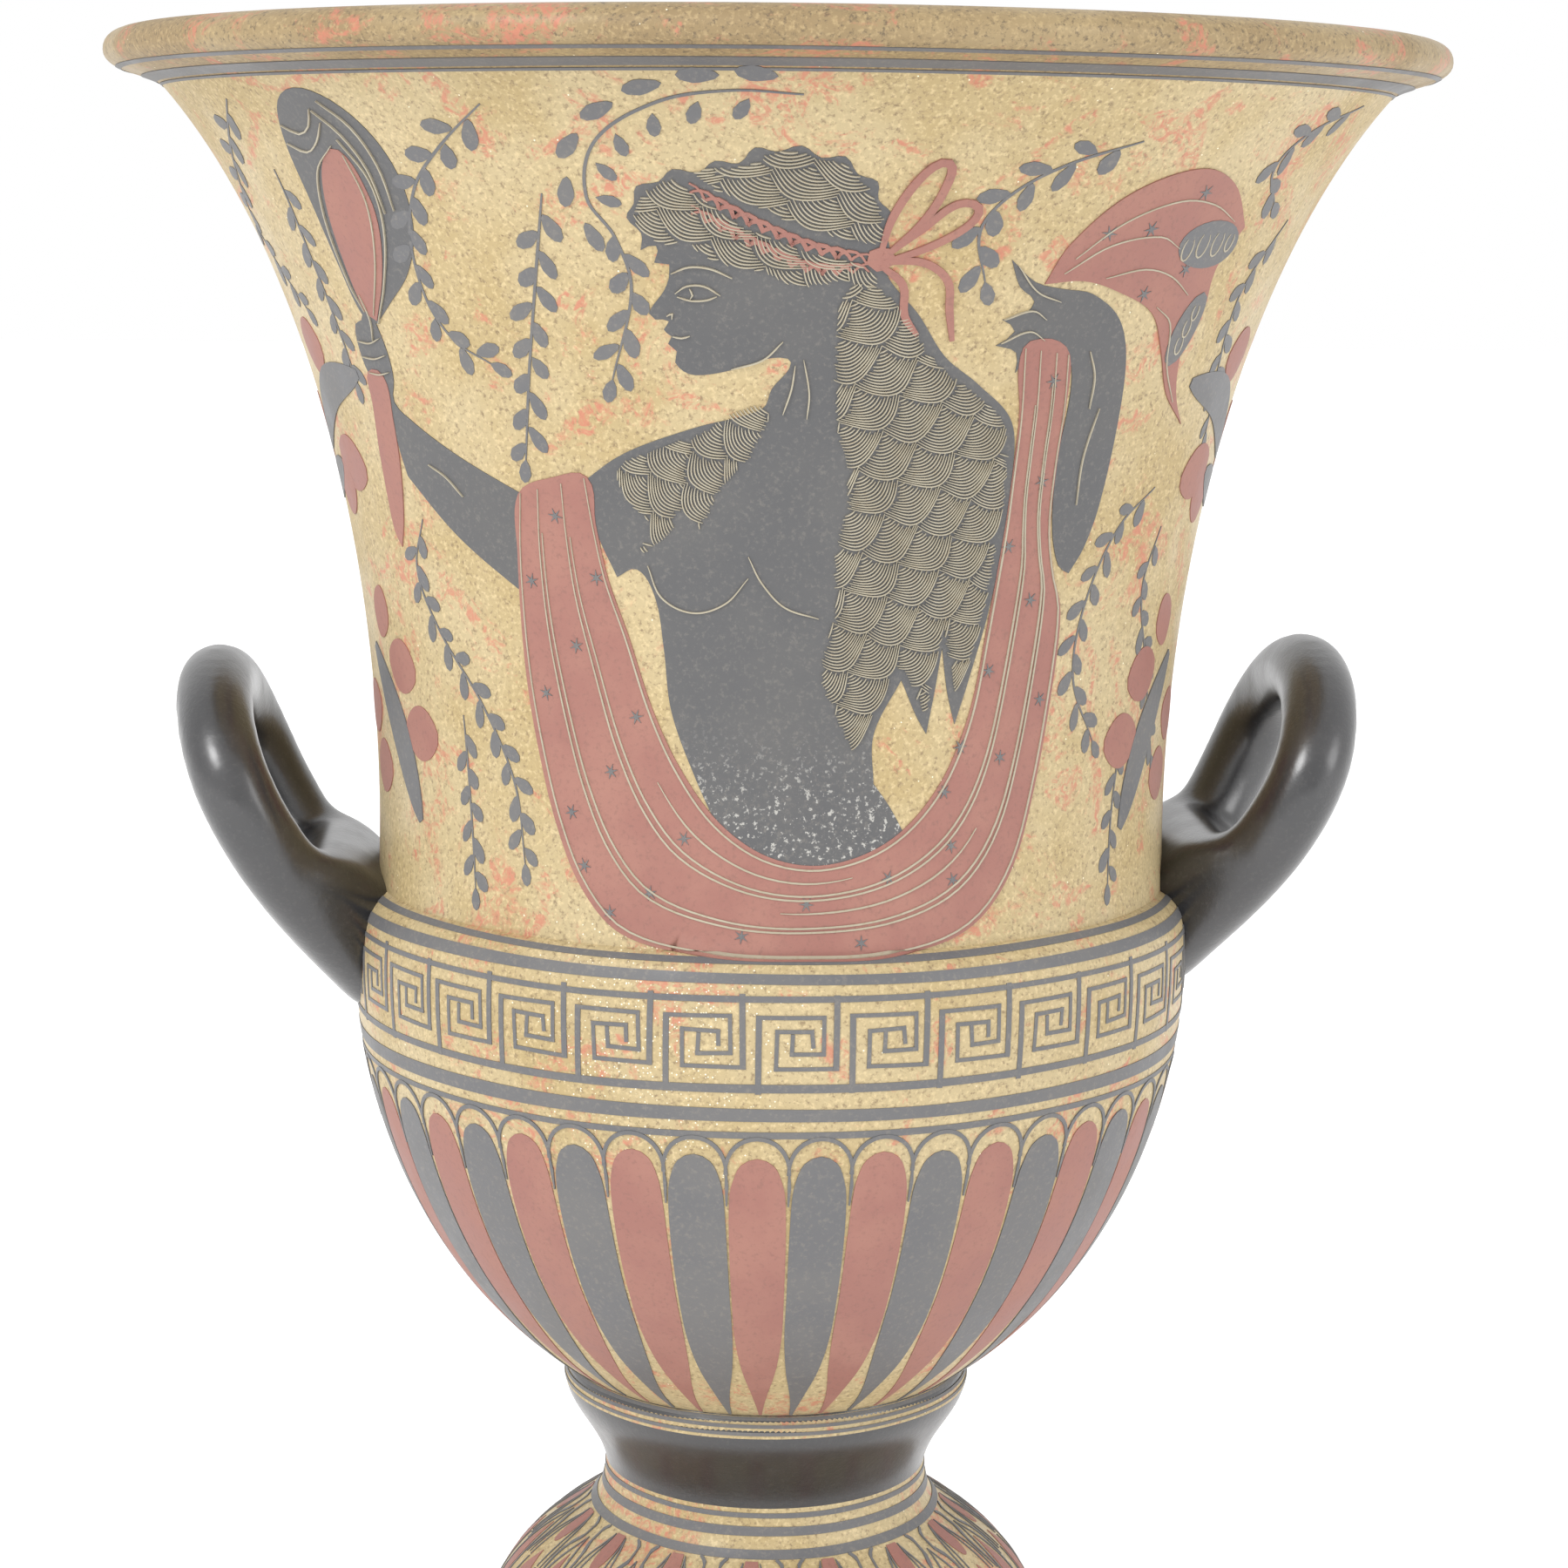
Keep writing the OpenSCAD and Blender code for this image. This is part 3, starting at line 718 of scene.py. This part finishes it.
# the figure's slip turns paler in specks towards its lower part
pale_specks = sum_of(flesh_tree, "MULTIPLY", step(flesh_tree, height, PALE_TOP, PALE_FULL),
                step(flesh_tree, noise(flesh_tree, where, 0.5, 3.0, 0.7), 0.56, 0.64))
flesh_tree.links.new(blend(flesh_tree, pale_specks, flesh_body.outputs["Colour"],
                           (0.42, 0.41, 0.38, 1)), flesh_shader.inputs["Base Color"])
as_piece("goddess", painted([body, forearm, raised_arm], film=0.1), [flesh])

# ---------------------------------------------------------------------------------------
# Mantle: a long shawl of red slip that hangs from both arms in a deep loop, with the end
# blowing free on the right, and on the left the red handle and face of the mirror.
outer_hem = [(-36, 201.6), (-37.4, 193), (-38, 183), (-37.7, 174), (-36.3, 165), (-33.6, 155),
             (-29.2, 146), (-22.5, 139.9), (-9.6, 137.5), (5, 137.1), (20, 137.5), (31.5, 140.6),
             (38.8, 148), (42.9, 160), (45, 174), (45, 185), (42.6, 190.8), (40.8, 197),
             (40, 206), (39.6, 214), (38.3, 221.6)]
inner_hem = [(-25, 204.4), (-24.4, 198), (-23.2, 190.5), (-20.6, 182.5), (-17.4, 172.4),
             (-13.3, 164), (-7.4, 156.4), (0, 151.7), (8.7, 150.6), (18.4, 154), (25.7, 161.3),
             (30, 171), (31.8, 182), (33, 196.7), (33, 205), (32.6, 213), (31.2, 222.6)]
shawl = flow(outer_hem + [(35, 223.8)] + inner_hem[::-1] + [(-30, 204.2)])
blown_end = flow([(32.2, 231.2, 1), (34.3, 236.6), (40.4, 243.4), (49, 246.7), (56, 244.8),
                  (62.6, 239, 1), (60.3, 234.5), (60.2, 231.6), (61, 228.6, 1), (59, 224.5),
                  (59.6, 219), (61.7, 214.6), (65, 211, 1), (58.6, 215.6), (54.6, 221.6),
                  (50.4, 227), (43, 230.2), (37.5, 231.6)])
mirror_face = flow([(-50, 248), (-48.4, 242), (-49, 237), (-51.6, 230.6), (-55.4, 224.8, 1),
                    (-57.4, 226.2), (-58.2, 233), (-57, 240.5), (-53.6, 246.6)])
mirror_handle = flow([(-57.7, 217), (-58, 211), (-59, 204), (-60.9, 196.5), (-62.8, 192.2, 1),
                      (-64.2, 194.4), (-64.5, 199), (-63.9, 206), (-62.4, 213), (-61.4, 217.4)])
as_piece("red_mantle", painted([shawl, blown_end], film=0.2), [red_paint])
as_piece("mirror_back", painted([flow([
    (-50.5, 256), (-45.6, 252.6), (-42.8, 246), (-43.2, 238), (-46.6, 231.6), (-51.8, 227.2),
    (-55.6, 224.4, 1), (-58.4, 225.6), (-59.8, 232), (-60, 241), (-59, 249), (-55.6, 254.6)])],
    film=0.1), [flesh])
as_piece("mirror_face", painted([mirror_face, mirror_handle], film=0.18), [red_paint])


def star(at, size):
    """A dot with short rays, one woven star of the mantle."""
    turn = hand.uniform(0, 1)
    return [(at[0] + r * math.cos(a + turn), at[1] + r * math.sin(a + turn))
            for k in range(6) for r, a in ((size, k * math.tau / 6),
                                           (size * 0.27, (k + 0.5) * math.tau / 6))]


stars = [(-30.4, 198.8), (-35.4, 189.4), (-24.9, 190.4), (-28.8, 180.6), (-34.4, 173.5),
         (-19.8, 171), (-24, 163), (-30.7, 156.7), (-12.7, 154), (-28.6, 149.2), (-24.3, 142.8),
         (-18, 146), (-4, 140.4), (5.6, 145), (13.9, 139.4), (18, 148.5), (28.4, 147.7),
         (28, 152.6), (26.6, 160.4), (28.9, 166.7), (35.9, 164.8), (42.6, 172.7),
         (32.8, 177.4), (38.9, 187.2), (34, 195), (37.9, 204), (36.7, 218), (45, 238.6),
         (51.4, 243.6), (53.6, 233.2), (39, 238), (47.6, 229.8)]
clock = [k * math.tau / 12 for k in range(12)]
cloth_black = [star(at, 1.15) for at in stars]
cloth_black += [flow([(56.5 + 5.8 * math.cos(a), 236.6 + 3.3 * math.sin(a)) for a in clock]),
                flow([(58.2 + 2.5 * math.cos(a) + 1.2 * math.sin(a),
                       224.8 + 5.2 * math.sin(a)) for a in clock])]
as_piece("mantle_stars", painted(cloth_black, film=0.28, rungs=False), [black_paint])

# ---------------------------------------------------------------------------------------
# Hair band and bow: two twisted cords of red slip round the head, tied in a bow behind.
band = []
for drop_by in (0.0, 2.7):
    for phase in (0, math.pi):
        cord = flow([(-8.8, 243.4 - drop_by), (-2.4, 239.2 - drop_by), (4, 236 - drop_by),
                     (10.6, 234.4 - 0.4 * drop_by)], False, 0.5)
        band.append(stroke([(u + 0.4 * math.sin(k * 0.9 + phase),
                             z + 0.55 * math.cos(k * 0.9 + phase))
                            for k, (u, z) in enumerate(cord)], 0.5))
for loop in ([(11.6, 234.6), (12.6, 240), (15.4, 245.6), (17.6, 246.8), (17.8, 244),
              (16, 239.4), (12.4, 235)],
             [(11.8, 234.4), (16, 238.4), (19.4, 241.6), (21.8, 241.2), (21.2, 239),
              (17, 236), (12, 234)],
             [(12, 234), (16.6, 234), (19.8, 231.6), (20.6, 227.6), (21.5, 223.6)],
             [(11.8, 233.6), (14.6, 231), (15.2, 227), (17, 224.4)]):
    band.append(stroke(flow(loop, False, 0.8), 0.95, 0.6))
band.append(flow([(10.4, 235.4), (12.6, 235.8), (13.2, 233.8), (11.4, 232.8), (10.2, 233.8)]))
as_piece("hair_band", painted(band, film=0.3, rungs=False), [red_paint])

# ---------------------------------------------------------------------------------------
# Incised lines: hair, folds and limbs are scratched through the slip with a point, so the
# ochre ground shows. Each starts and ends thin, and is laid here as a fine film of ochre.
HAIR_LINE, FOLD_LINE = 0.155, 0.26
fine_gold = slip_coat("scratched ochre line", (0.40, 0.36, 0.27), (0.33, 0.29, 0.21),
                      (0.32, 0.25, 0.16), 5.0, 0.6, 0.5, polish=(0.5, 0.66))[0]
scratches = []


def holds(region, spot):
    """Whether a closed line goes round a spot."""
    inside = False
    for (x0, y0), (x1, y1) in zip(region, region[1:] + region[:1]):
        if (y0 > spot[1]) != (y1 > spot[1]) and \
                spot[0] < x0 + (spot[1] - y0) * (x1 - x0) / (y1 - y0):
            inside = not inside
    return inside


def scratch(line, width=0.19):
    """Keeps one line, unless it has fewer than three points."""
    if len(line) > 2:
        scratches.append(stroke(line, width, 0.4))


def locks(region, wide, tall, lean, deep, gap=0.46):
    """Fills a region with rippling hair: waves laid like roof tiles, each of even threads."""
    across = [p[0] for p in region]
    up = [p[1] for p in region]
    turn = Matrix.Rotation(math.radians(lean), 2)
    middle = Vector(((min(across) + max(across)) / 2, (min(up) + max(up)) / 2))
    reach = math.hypot(max(across) - min(across), max(up) - min(up)) / 2
    rows, cols = math.ceil(reach / tall) + 1, math.ceil(reach / wide) + 1
    for row in range(-rows, rows + 1):
        for col in range(-cols, cols + 1):
            start = (col + 0.5 * (row % 2)) * wide
            uneven = hand.uniform(-0.12, 0.12)
            for thread in range(round((tall + deep) / gap)):
                run = []
                for k in range(-8, 9):
                    out = k / 8
                    above = tall + deep * (1 - math.cos(math.pi / 2 * (1 - abs(out))))
                    rise = thread * gap + deep * (1 - math.cos(math.pi / 2 * out)) + uneven
                    drift = 0.5 * math.sin(0.55 * (row * tall + rise))
                    spot = turn @ Vector((start + out * wide / 2 + drift,
                                          row * tall + rise)) + middle
                    if holds(region, spot) and rise < above:
                        run.append(tuple(spot))
                    else:
                        scratch(run, HAIR_LINE)
                        run = []
                scratch(run, HAIR_LINE)


crown = flow([(-8.4, 245), (-5.4, 246), (-3, 246.2), (-1, 247.8), (3, 248), (7.6, 246),
              (10.2, 242.8), (11.8, 239), (11.6, 236.4), (4, 238), (-2, 241)])
under_band = flow([(-15.2, 240), (-13.6, 242.8), (-10.6, 244.6), (-9, 243.4), (-3.4, 238.6),
                   (3.6, 235.4), (10.4, 233.2), (11.6, 230.4), (8, 231.4), (3, 230.6),
                   (-2, 232.6), (-6, 233.6), (-9, 235.4), (-13.2, 236.4), (-14.4, 237.6)])
fall = flow([(8.4, 231), (12, 230.6), (16, 226.4), (20.2, 220.6), (25.4, 216.8), (30.8, 211.8),
             (32.2, 204), (32.2, 196), (31.2, 186), (29.4, 178), (27.8, 171.6, 1), (26.2, 178),
             (25, 183.5, 1), (24, 177), (23.3, 170.4, 1), (21, 174.6), (18.8, 178.4, 1),
             (15.2, 172), (12.2, 166, 1), (9.6, 171), (7, 177.6), (8.8, 186), (8.4, 194),
             (9.8, 203), (8, 212), (7.2, 222)])
near_shoulder = flow([(-1.2, 214.6), (-9.6, 210.9), (-17, 208), (-20.8, 205.6), (-19.6, 201.4),
                      (-17, 199, 1), (-18.6, 193.6, 1), (-14, 196.4), (-12.6, 200.4, 1),
                      (-9.6, 197.4, 1), (-6.4, 203.4), (-2.6, 208)])
locks(crown, 7.4, 2.9, -22, 2.0)
locks(under_band, 6.8, 2.7, -34, 1.9)
locks(fall, 8.2, 3.6, 26, 3.1)
locks(near_shoulder, 7.2, 3.2, -54, 2.4)

for line, width in (
        # the face: eye, brow, mouth, nostril and jaw
        ([(-11.3, 229.6), (-9.9, 230.6), (-7.9, 230.6), (-6.1, 229.4)], 0.18),
        ([(-11.1, 229.2), (-9.5, 228.7), (-7.7, 228.8), (-6.5, 229.3)], 0.18),
        ([(-9.6, 230.3), (-9.3, 229.4), (-9.6, 228.9)], 0.18),
        ([(-11.6, 232.2), (-9.5, 233.1), (-7.1, 232.9), (-4.7, 231.7)], 0.18),
        ([(-12.0, 223.9), (-10.9, 223.7), (-9.9, 224.0)], 0.18),
        ([(-12.5, 226.6), (-11.8, 226.9), (-11.9, 226.2)], 0.18),
        ([(-5.1, 219.6), (-1.3, 220.9), (1.1, 223.4)], 0.18),
        # neck and breasts
        ([(2.6, 220.2), (2.2, 217), (1.2, 213.6)], 0.19),
        ([(3.6, 221), (4.4, 216.4), (4.2, 213)], 0.18),
        ([(-17.2, 192.4), (-15.4, 188), (-11, 186), (-6.4, 187.4), (-3.2, 191)], 0.2),
        ([(-3.2, 194), (-1.4, 190.4), (1.8, 187), (6.6, 185.4)], 0.2),
        # arms, and the fingers of both hands
        ([(-52, 204.8), (-48.8, 203.2), (-46, 200.6)], 0.18),
        ([(45.4, 214), (44.4, 207), (44.8, 200.4)], 0.19),
        ([(41.4, 222), (43.2, 218.4), (43.6, 214)], 0.18),
        ([(28.2, 233.6), (31.4, 230.2), (35, 228.8)], 0.18),
        ([(27.8, 226.4), (31.4, 227.6), (33.6, 226.4)], 0.17),
        ([(28, 223.2), (31.6, 224.8), (34, 223.6)], 0.17),
        ([(-61.4, 221.8), (-58.6, 221.6), (-56, 222.4)], 0.18),
        ([(-61.4, 219.6), (-58.6, 219.4), (-55.8, 220)], 0.18),
        ([(-60.8, 217.4), (-58.4, 217.2), (-56, 217.6)], 0.18),
        ([(-57.4, 228.4), (-56.8, 225), (-57.6, 222)], 0.18)):
    scratch(flow(line, False, 0.5), width)


def spaced(line, count):
    """count points at even steps along a line."""
    lengths = [0.0]
    for p, q in zip(line, line[1:]):
        lengths.append(lengths[-1] + math.dist(p, q))
    out = []
    for i in range(count):
        want = lengths[-1] * i / (count - 1)
        k = max(j for j in range(len(line) - 1) if lengths[j] <= want + 1e-9)
        t = (want - lengths[k]) / (lengths[k + 1] - lengths[k])
        out.append(tuple(Vector(line[k]).lerp(Vector(line[k + 1]), min(t, 1))))
    return out


# the folds of the mantle, in pairs that follow its hems, and an edge line inside each hem
outside = spaced(flow(outer_hem, False), 90)
within = spaced(flow(inner_hem, False), 90)
for share, first, last in ((0.04, 0, 90), (0.30, 0, 90), (0.345, 3, 88), (0.64, 0, 90),
                           (0.685, 4, 86), (0.96, 0, 90), (0.5, 38, 56), (0.82, 24, 44)):
    scratch([tuple(Vector(p).lerp(Vector(q), share + 0.012 * math.sin(i / 9)))
             for i, (p, q) in enumerate(zip(outside, within))][first:last], FOLD_LINE)
for line in ([(34.4, 232.6), (40, 236.4), (47, 237.6), (51, 236)],
             [(35.4, 234.6), (41, 239.6), (48, 242.4), (54, 242), (59.4, 239.8)],
             [(40.6, 232), (46.4, 233.2), (51.4, 232.2), (56, 229.6)],
             [(50.6, 228), (54.4, 225.6), (56.6, 219.6), (60.6, 214.4)],
             [(-49.6, 247.4), (-49.2, 241), (-51.4, 233.6), (-55.6, 225.6)],
             [(-50.8, 248.6), (-55.6, 245), (-58.6, 238), (-58.8, 230), (-57.4, 226)],
             [(-49.4, 249.4), (-47.2, 244), (-48, 237.4), (-51.4, 230), (-55.2, 224.4)],
             [(-58.6, 249), (-55.6, 247.8), (-52.8, 249.2), (-50.6, 251.6)],
             [(-57.8, 251.4), (-55.2, 250.2), (-52.8, 251.2), (-51.2, 253.4)],
             [(-49.4, 254.4), (-46.4, 251), (-45, 246), (-45.2, 240)],
             [(-51, 253.2), (-48.4, 250), (-46.8, 245.4), (-46.8, 239.6)]):
    scratch(flow(line, False))
for u, z, size in ((52.4, 236, 1.1), (55, 236.6, 1.2), (57.8, 236.8, 1.2), (60.3, 237, 0.9),
                   (57.8, 222.6, 0.9), (58.3, 225, 0.9), (59, 227.2, 0.8)):
    scratch([(u + 0.8 * size * math.cos(a), z + 1.5 * size * math.sin(a))
             for a in [math.radians(d) for d in range(-230, 51, 28)]], 0.22)
as_piece("incised_lines", painted(scratches, film=0.34, rungs=False), [fine_gold])

# ---------------------------------------------------------------------------------------
# Sprigs: stems of black slip with leaves to each side in turn, each one touch of a full brush.
# They fill the ground round the figure, and are carried on round the back.
STEM_LINE, LEAF_STEP = 0.36, 2.35
FREE_SHARE = 0.6  # over the head the leaves of this share of the stem stand free of it
sprigs = [[(-29, 253.7), (-36, 248), (-41, 243), (-44.4, 236), (-44.8, 228), (-42, 222.6),
           (-37, 219.6)],
          [(-25, 242.4), (-28.5, 229.6), (-31.6, 217.6), (-34, 206.5)],
          [(2.6, 255), (-4, 255.4), (-11, 254), (-18, 249), (-20, 242), (-17.6, 237),
           (-16.4, 230), (-20, 218)],
          [(39, 250), (30.6, 246.7), (25, 242.6), (22.6, 238), (24.4, 231.5)],
          [(-56, 196.7), (-59.6, 189), (-56, 181), (-47.4, 171), (-41.3, 160), (-39.5, 148.5)],
          [(-51.7, 168.7), (-51, 156.5), (-50, 143.7)],
          [(62.3, 202), (55, 196.7), (50, 185.7), (49.5, 175), (55.4, 165.6)],
          [(67, 196), (64.6, 187), (69.6, 176), (77, 161)],
          [(64, 165.6), (62.3, 155), (61.7, 143.7)],
          [(-65, 245.5), (-66.3, 233), (-65.7, 216)],
          [(-66, 255), (-80, 244), (-84.6, 237), (-75.5, 226)],
          [(75.7, 256), (66, 252), (62.6, 247), (67.2, 242.4)],
          [(75, 240), (70, 228.4), (75.7, 209.5)]]
over_head = sprigs[2]
half_round = math.pi * CHART_R
for u, z in ((0, 252), (-34, 250), (34, 250), (-22, 214), (22, 214), (-60, 196), (60, 196)):
    lean = 0.12 * u
    sprigs.append([(half_round + u, z), (half_round + u - lean, z - 11),
                   (half_round + u + lean * 0.3, z - 23), (half_round + u + lean, z - 34)])


def leaf(at, way, long, wide):
    """One leaf from its root, widest past the middle."""
    side = Vector((-way.y, way.x))
    return flow([tuple(Vector(at) + way * x * long + side * y * wide) for x, y in
                 ((0.0, 0.0), (0.28, 0.36), (0.62, 0.5), (0.9, 0.3), (1.0, 0.0),
                  (0.9, -0.3), (0.62, -0.5), (0.28, -0.36))], gap=0.8)


leaves = []
for stem in sprigs:
    line = flow(stem, False, 0.8)
    leaves.append(stroke(line, STEM_LINE, 0.5))
    long = sum(math.dist(p, q) for p, q in zip(line, line[1:]))
    stops = spaced(line, max(4, round(long / LEAF_STEP)))
    for k in range(1, len(stops) - 1):
        way = (Vector(stops[k + 1]) - Vector(stops[k - 1])).normalized()
        hand_side = 1 if k % 2 else -1
        if stem is over_head and k < FREE_SHARE * len(stops):
            away, splay, tall, wide = (1.9, 0.08, 4.0, 1.9) if k % 2 else (1.0, 1.9, 2.9, 1.5)
            out = Vector((way.y, -way.x)) * hand_side
            leaves.append(leaf(Vector(stops[k]) + out * away, (way + splay * out).normalized(),
                               tall, wide))
            continue
        turn = math.radians(hand.uniform(26, 46)) * hand_side
        way = Matrix.Rotation(turn, 2) @ way
        start = Vector(stops[k]) + way * 0.35
        leaves.append(leaf(start, way, hand.uniform(3.3, 4.2), hand.uniform(1.75, 2.2)))
    end = (Vector(stops[-1]) - Vector(stops[-2])).normalized()
    leaves.append(leaf(stops[-1], end, 3.4, 1.9))
as_piece("sprigs", painted(leaves, film=0.1, rungs=False), [black_paint])

# ---------------------------------------------------------------------------------------
# Palmettes: fans of red and black petals over each handle, and a full one on the back.
FAN_U, FAN_Z, BACK_FAN_Z = 102.1, 196, 168  # the hearts of the side fans and the back one
red_petals, black_petals = [], []


def petal(line, width, store):
    """A full-bodied stroke that narrows towards both its ends."""
    outline = stroke(spaced(flow(line, False), 15), 1.0, 1)
    half = len(outline) // 2
    shaped = []
    for i in range(half):
        near, far = Vector(outline[i]), Vector(outline[-1 - i])
        mid, out = (near + far) / 2, (near - far)
        full = width * math.sin(math.pi * min(1, (i + 0.35) / (half - 0.3))) ** 0.62
        shaped.append((tuple(mid + out * full / 2), tuple(mid - out * full / 2)))
    store.append([p for p, q in shaped] + [q for p, q in shaped[::-1]])


for side in (-1, 1):
    petal([(side * 64.5, 217), (side * 78, 214), (side * 91, 205)], 6.4, black_petals)
    petal([(side * 65, 151.4), (side * 72, 164), (side * 81.5, 176)], 6.8, black_petals)
    for u, z, long, turn in ((79.5, 220.5, 9, 15), (76, 203.5, 12, 20), (82, 199.5, 9, -10),
                             (75.5, 181.5, 7, 30), (69, 174, 10, 20), (63.8, 164.6, 10, 5),
                             (81.8, 157.5, 10, 0), (87, 166, 11, -20)):
        lean = math.radians(turn)
        way = Vector((math.cos(lean), math.sin(lean) * 0.6)) * long / 2
        petal([(side * (u - way.x), z - way.y), (side * u, z), (side * (u + way.x), z + way.y)],
              8.2, red_petals)
    for k in range(5):
        a = math.radians(-72 + 36 * k)
        start, end = 5, 21 - 2 * (k % 2)
        line = [(side * FAN_U + t * math.sin(a), FAN_Z + t * math.cos(a) * 1.1)
                for t in (start, (start + end) / 2, end)]
        petal(line, 5.4, red_petals if k % 2 else black_petals)
for k in range(9):
    a = math.radians(-96 + 24 * k)
    line = [(half_round + t * math.sin(a), BACK_FAN_Z + t * math.cos(a))
            for t in (5, 13, 22 - (k % 2))]
    petal(line, 5.6, black_petals if k % 2 else red_petals)
as_piece("red_petals", painted(red_petals, film=0.13), [red_paint])
as_piece("black_petals", painted(black_petals, film=0.17), [black_paint])

# ---------------------------------------------------------------------------------------
# Studio: a plain pale floor under a white sky, a broad soft light high on the left, a weaker
# one on the right, and a long-lens camera a little below the rim.
b = bmesh.new()
bmesh.ops.create_grid(b, x_segments=1, y_segments=1, size=6.0)
floor = placed("floor", mesh_of("floor", b))
floor_white = bpy.data.materials.new("pale floor")
floor_white.use_nodes = True
for socket, value in (("Base Color", (0.93, 0.93, 0.93, 1)), ("Roughness", 0.9),
                      ("Emission Color", (1, 1, 1, 1)), ("Emission Strength", 0.3)):
    floor_white.node_tree.nodes["Principled BSDF"].inputs[socket].default_value = value
floor.data.materials.append(floor_white)

world = bpy.data.worlds.new("white sky")
bpy.context.scene.world = world
world.use_nodes = True
world.node_tree.nodes["Background"].inputs["Color"].default_value = (1, 1, 1, 1)
world.node_tree.nodes["Background"].inputs["Strength"].default_value = 1.0


def soft_light(name, at, size, power, aim=(0, 0, 0.15)):
    """A round lamp at a place, turned to the middle of the pot."""
    lamp = bpy.data.lights.new(name, "AREA")
    lamp.shape, lamp.size, lamp.energy = "DISK", size, power
    lit = placed(name, lamp)
    lit.location = at
    lit.rotation_euler = (Vector(aim) - Vector(at)).to_track_quat("-Z", "Y").to_euler()


soft_light("key", (-0.75, -0.85, 0.95), 0.5, 9)
soft_light("fill", (1.0, -0.7, 0.5), 0.6, 3)

camera = bpy.data.cameras.new("camera")
camera.lens, camera.sensor_width = 80, 36
camera.clip_start, camera.clip_end = 0.01, 50
eye = placed("camera", camera)
pitch_down, roll = math.radians(9.26), math.radians(0.59)
off_axis, far, eye_height = 1.96, 537.9, 239.8
eye.matrix_world = (Matrix.Rotation(PICTURE_TURN, 4, "Z")
                    @ Matrix.Translation(Vector((off_axis, -far, eye_height)) * MM)
                    @ Matrix.Rotation(math.pi / 2 - pitch_down, 4, "X")
                    @ Matrix.Rotation(roll, 4, "Z"))
bpy.context.scene.camera = eye
bpy.context.scene.view_settings.view_transform = "Standard"

bpy.context.view_layer.update()
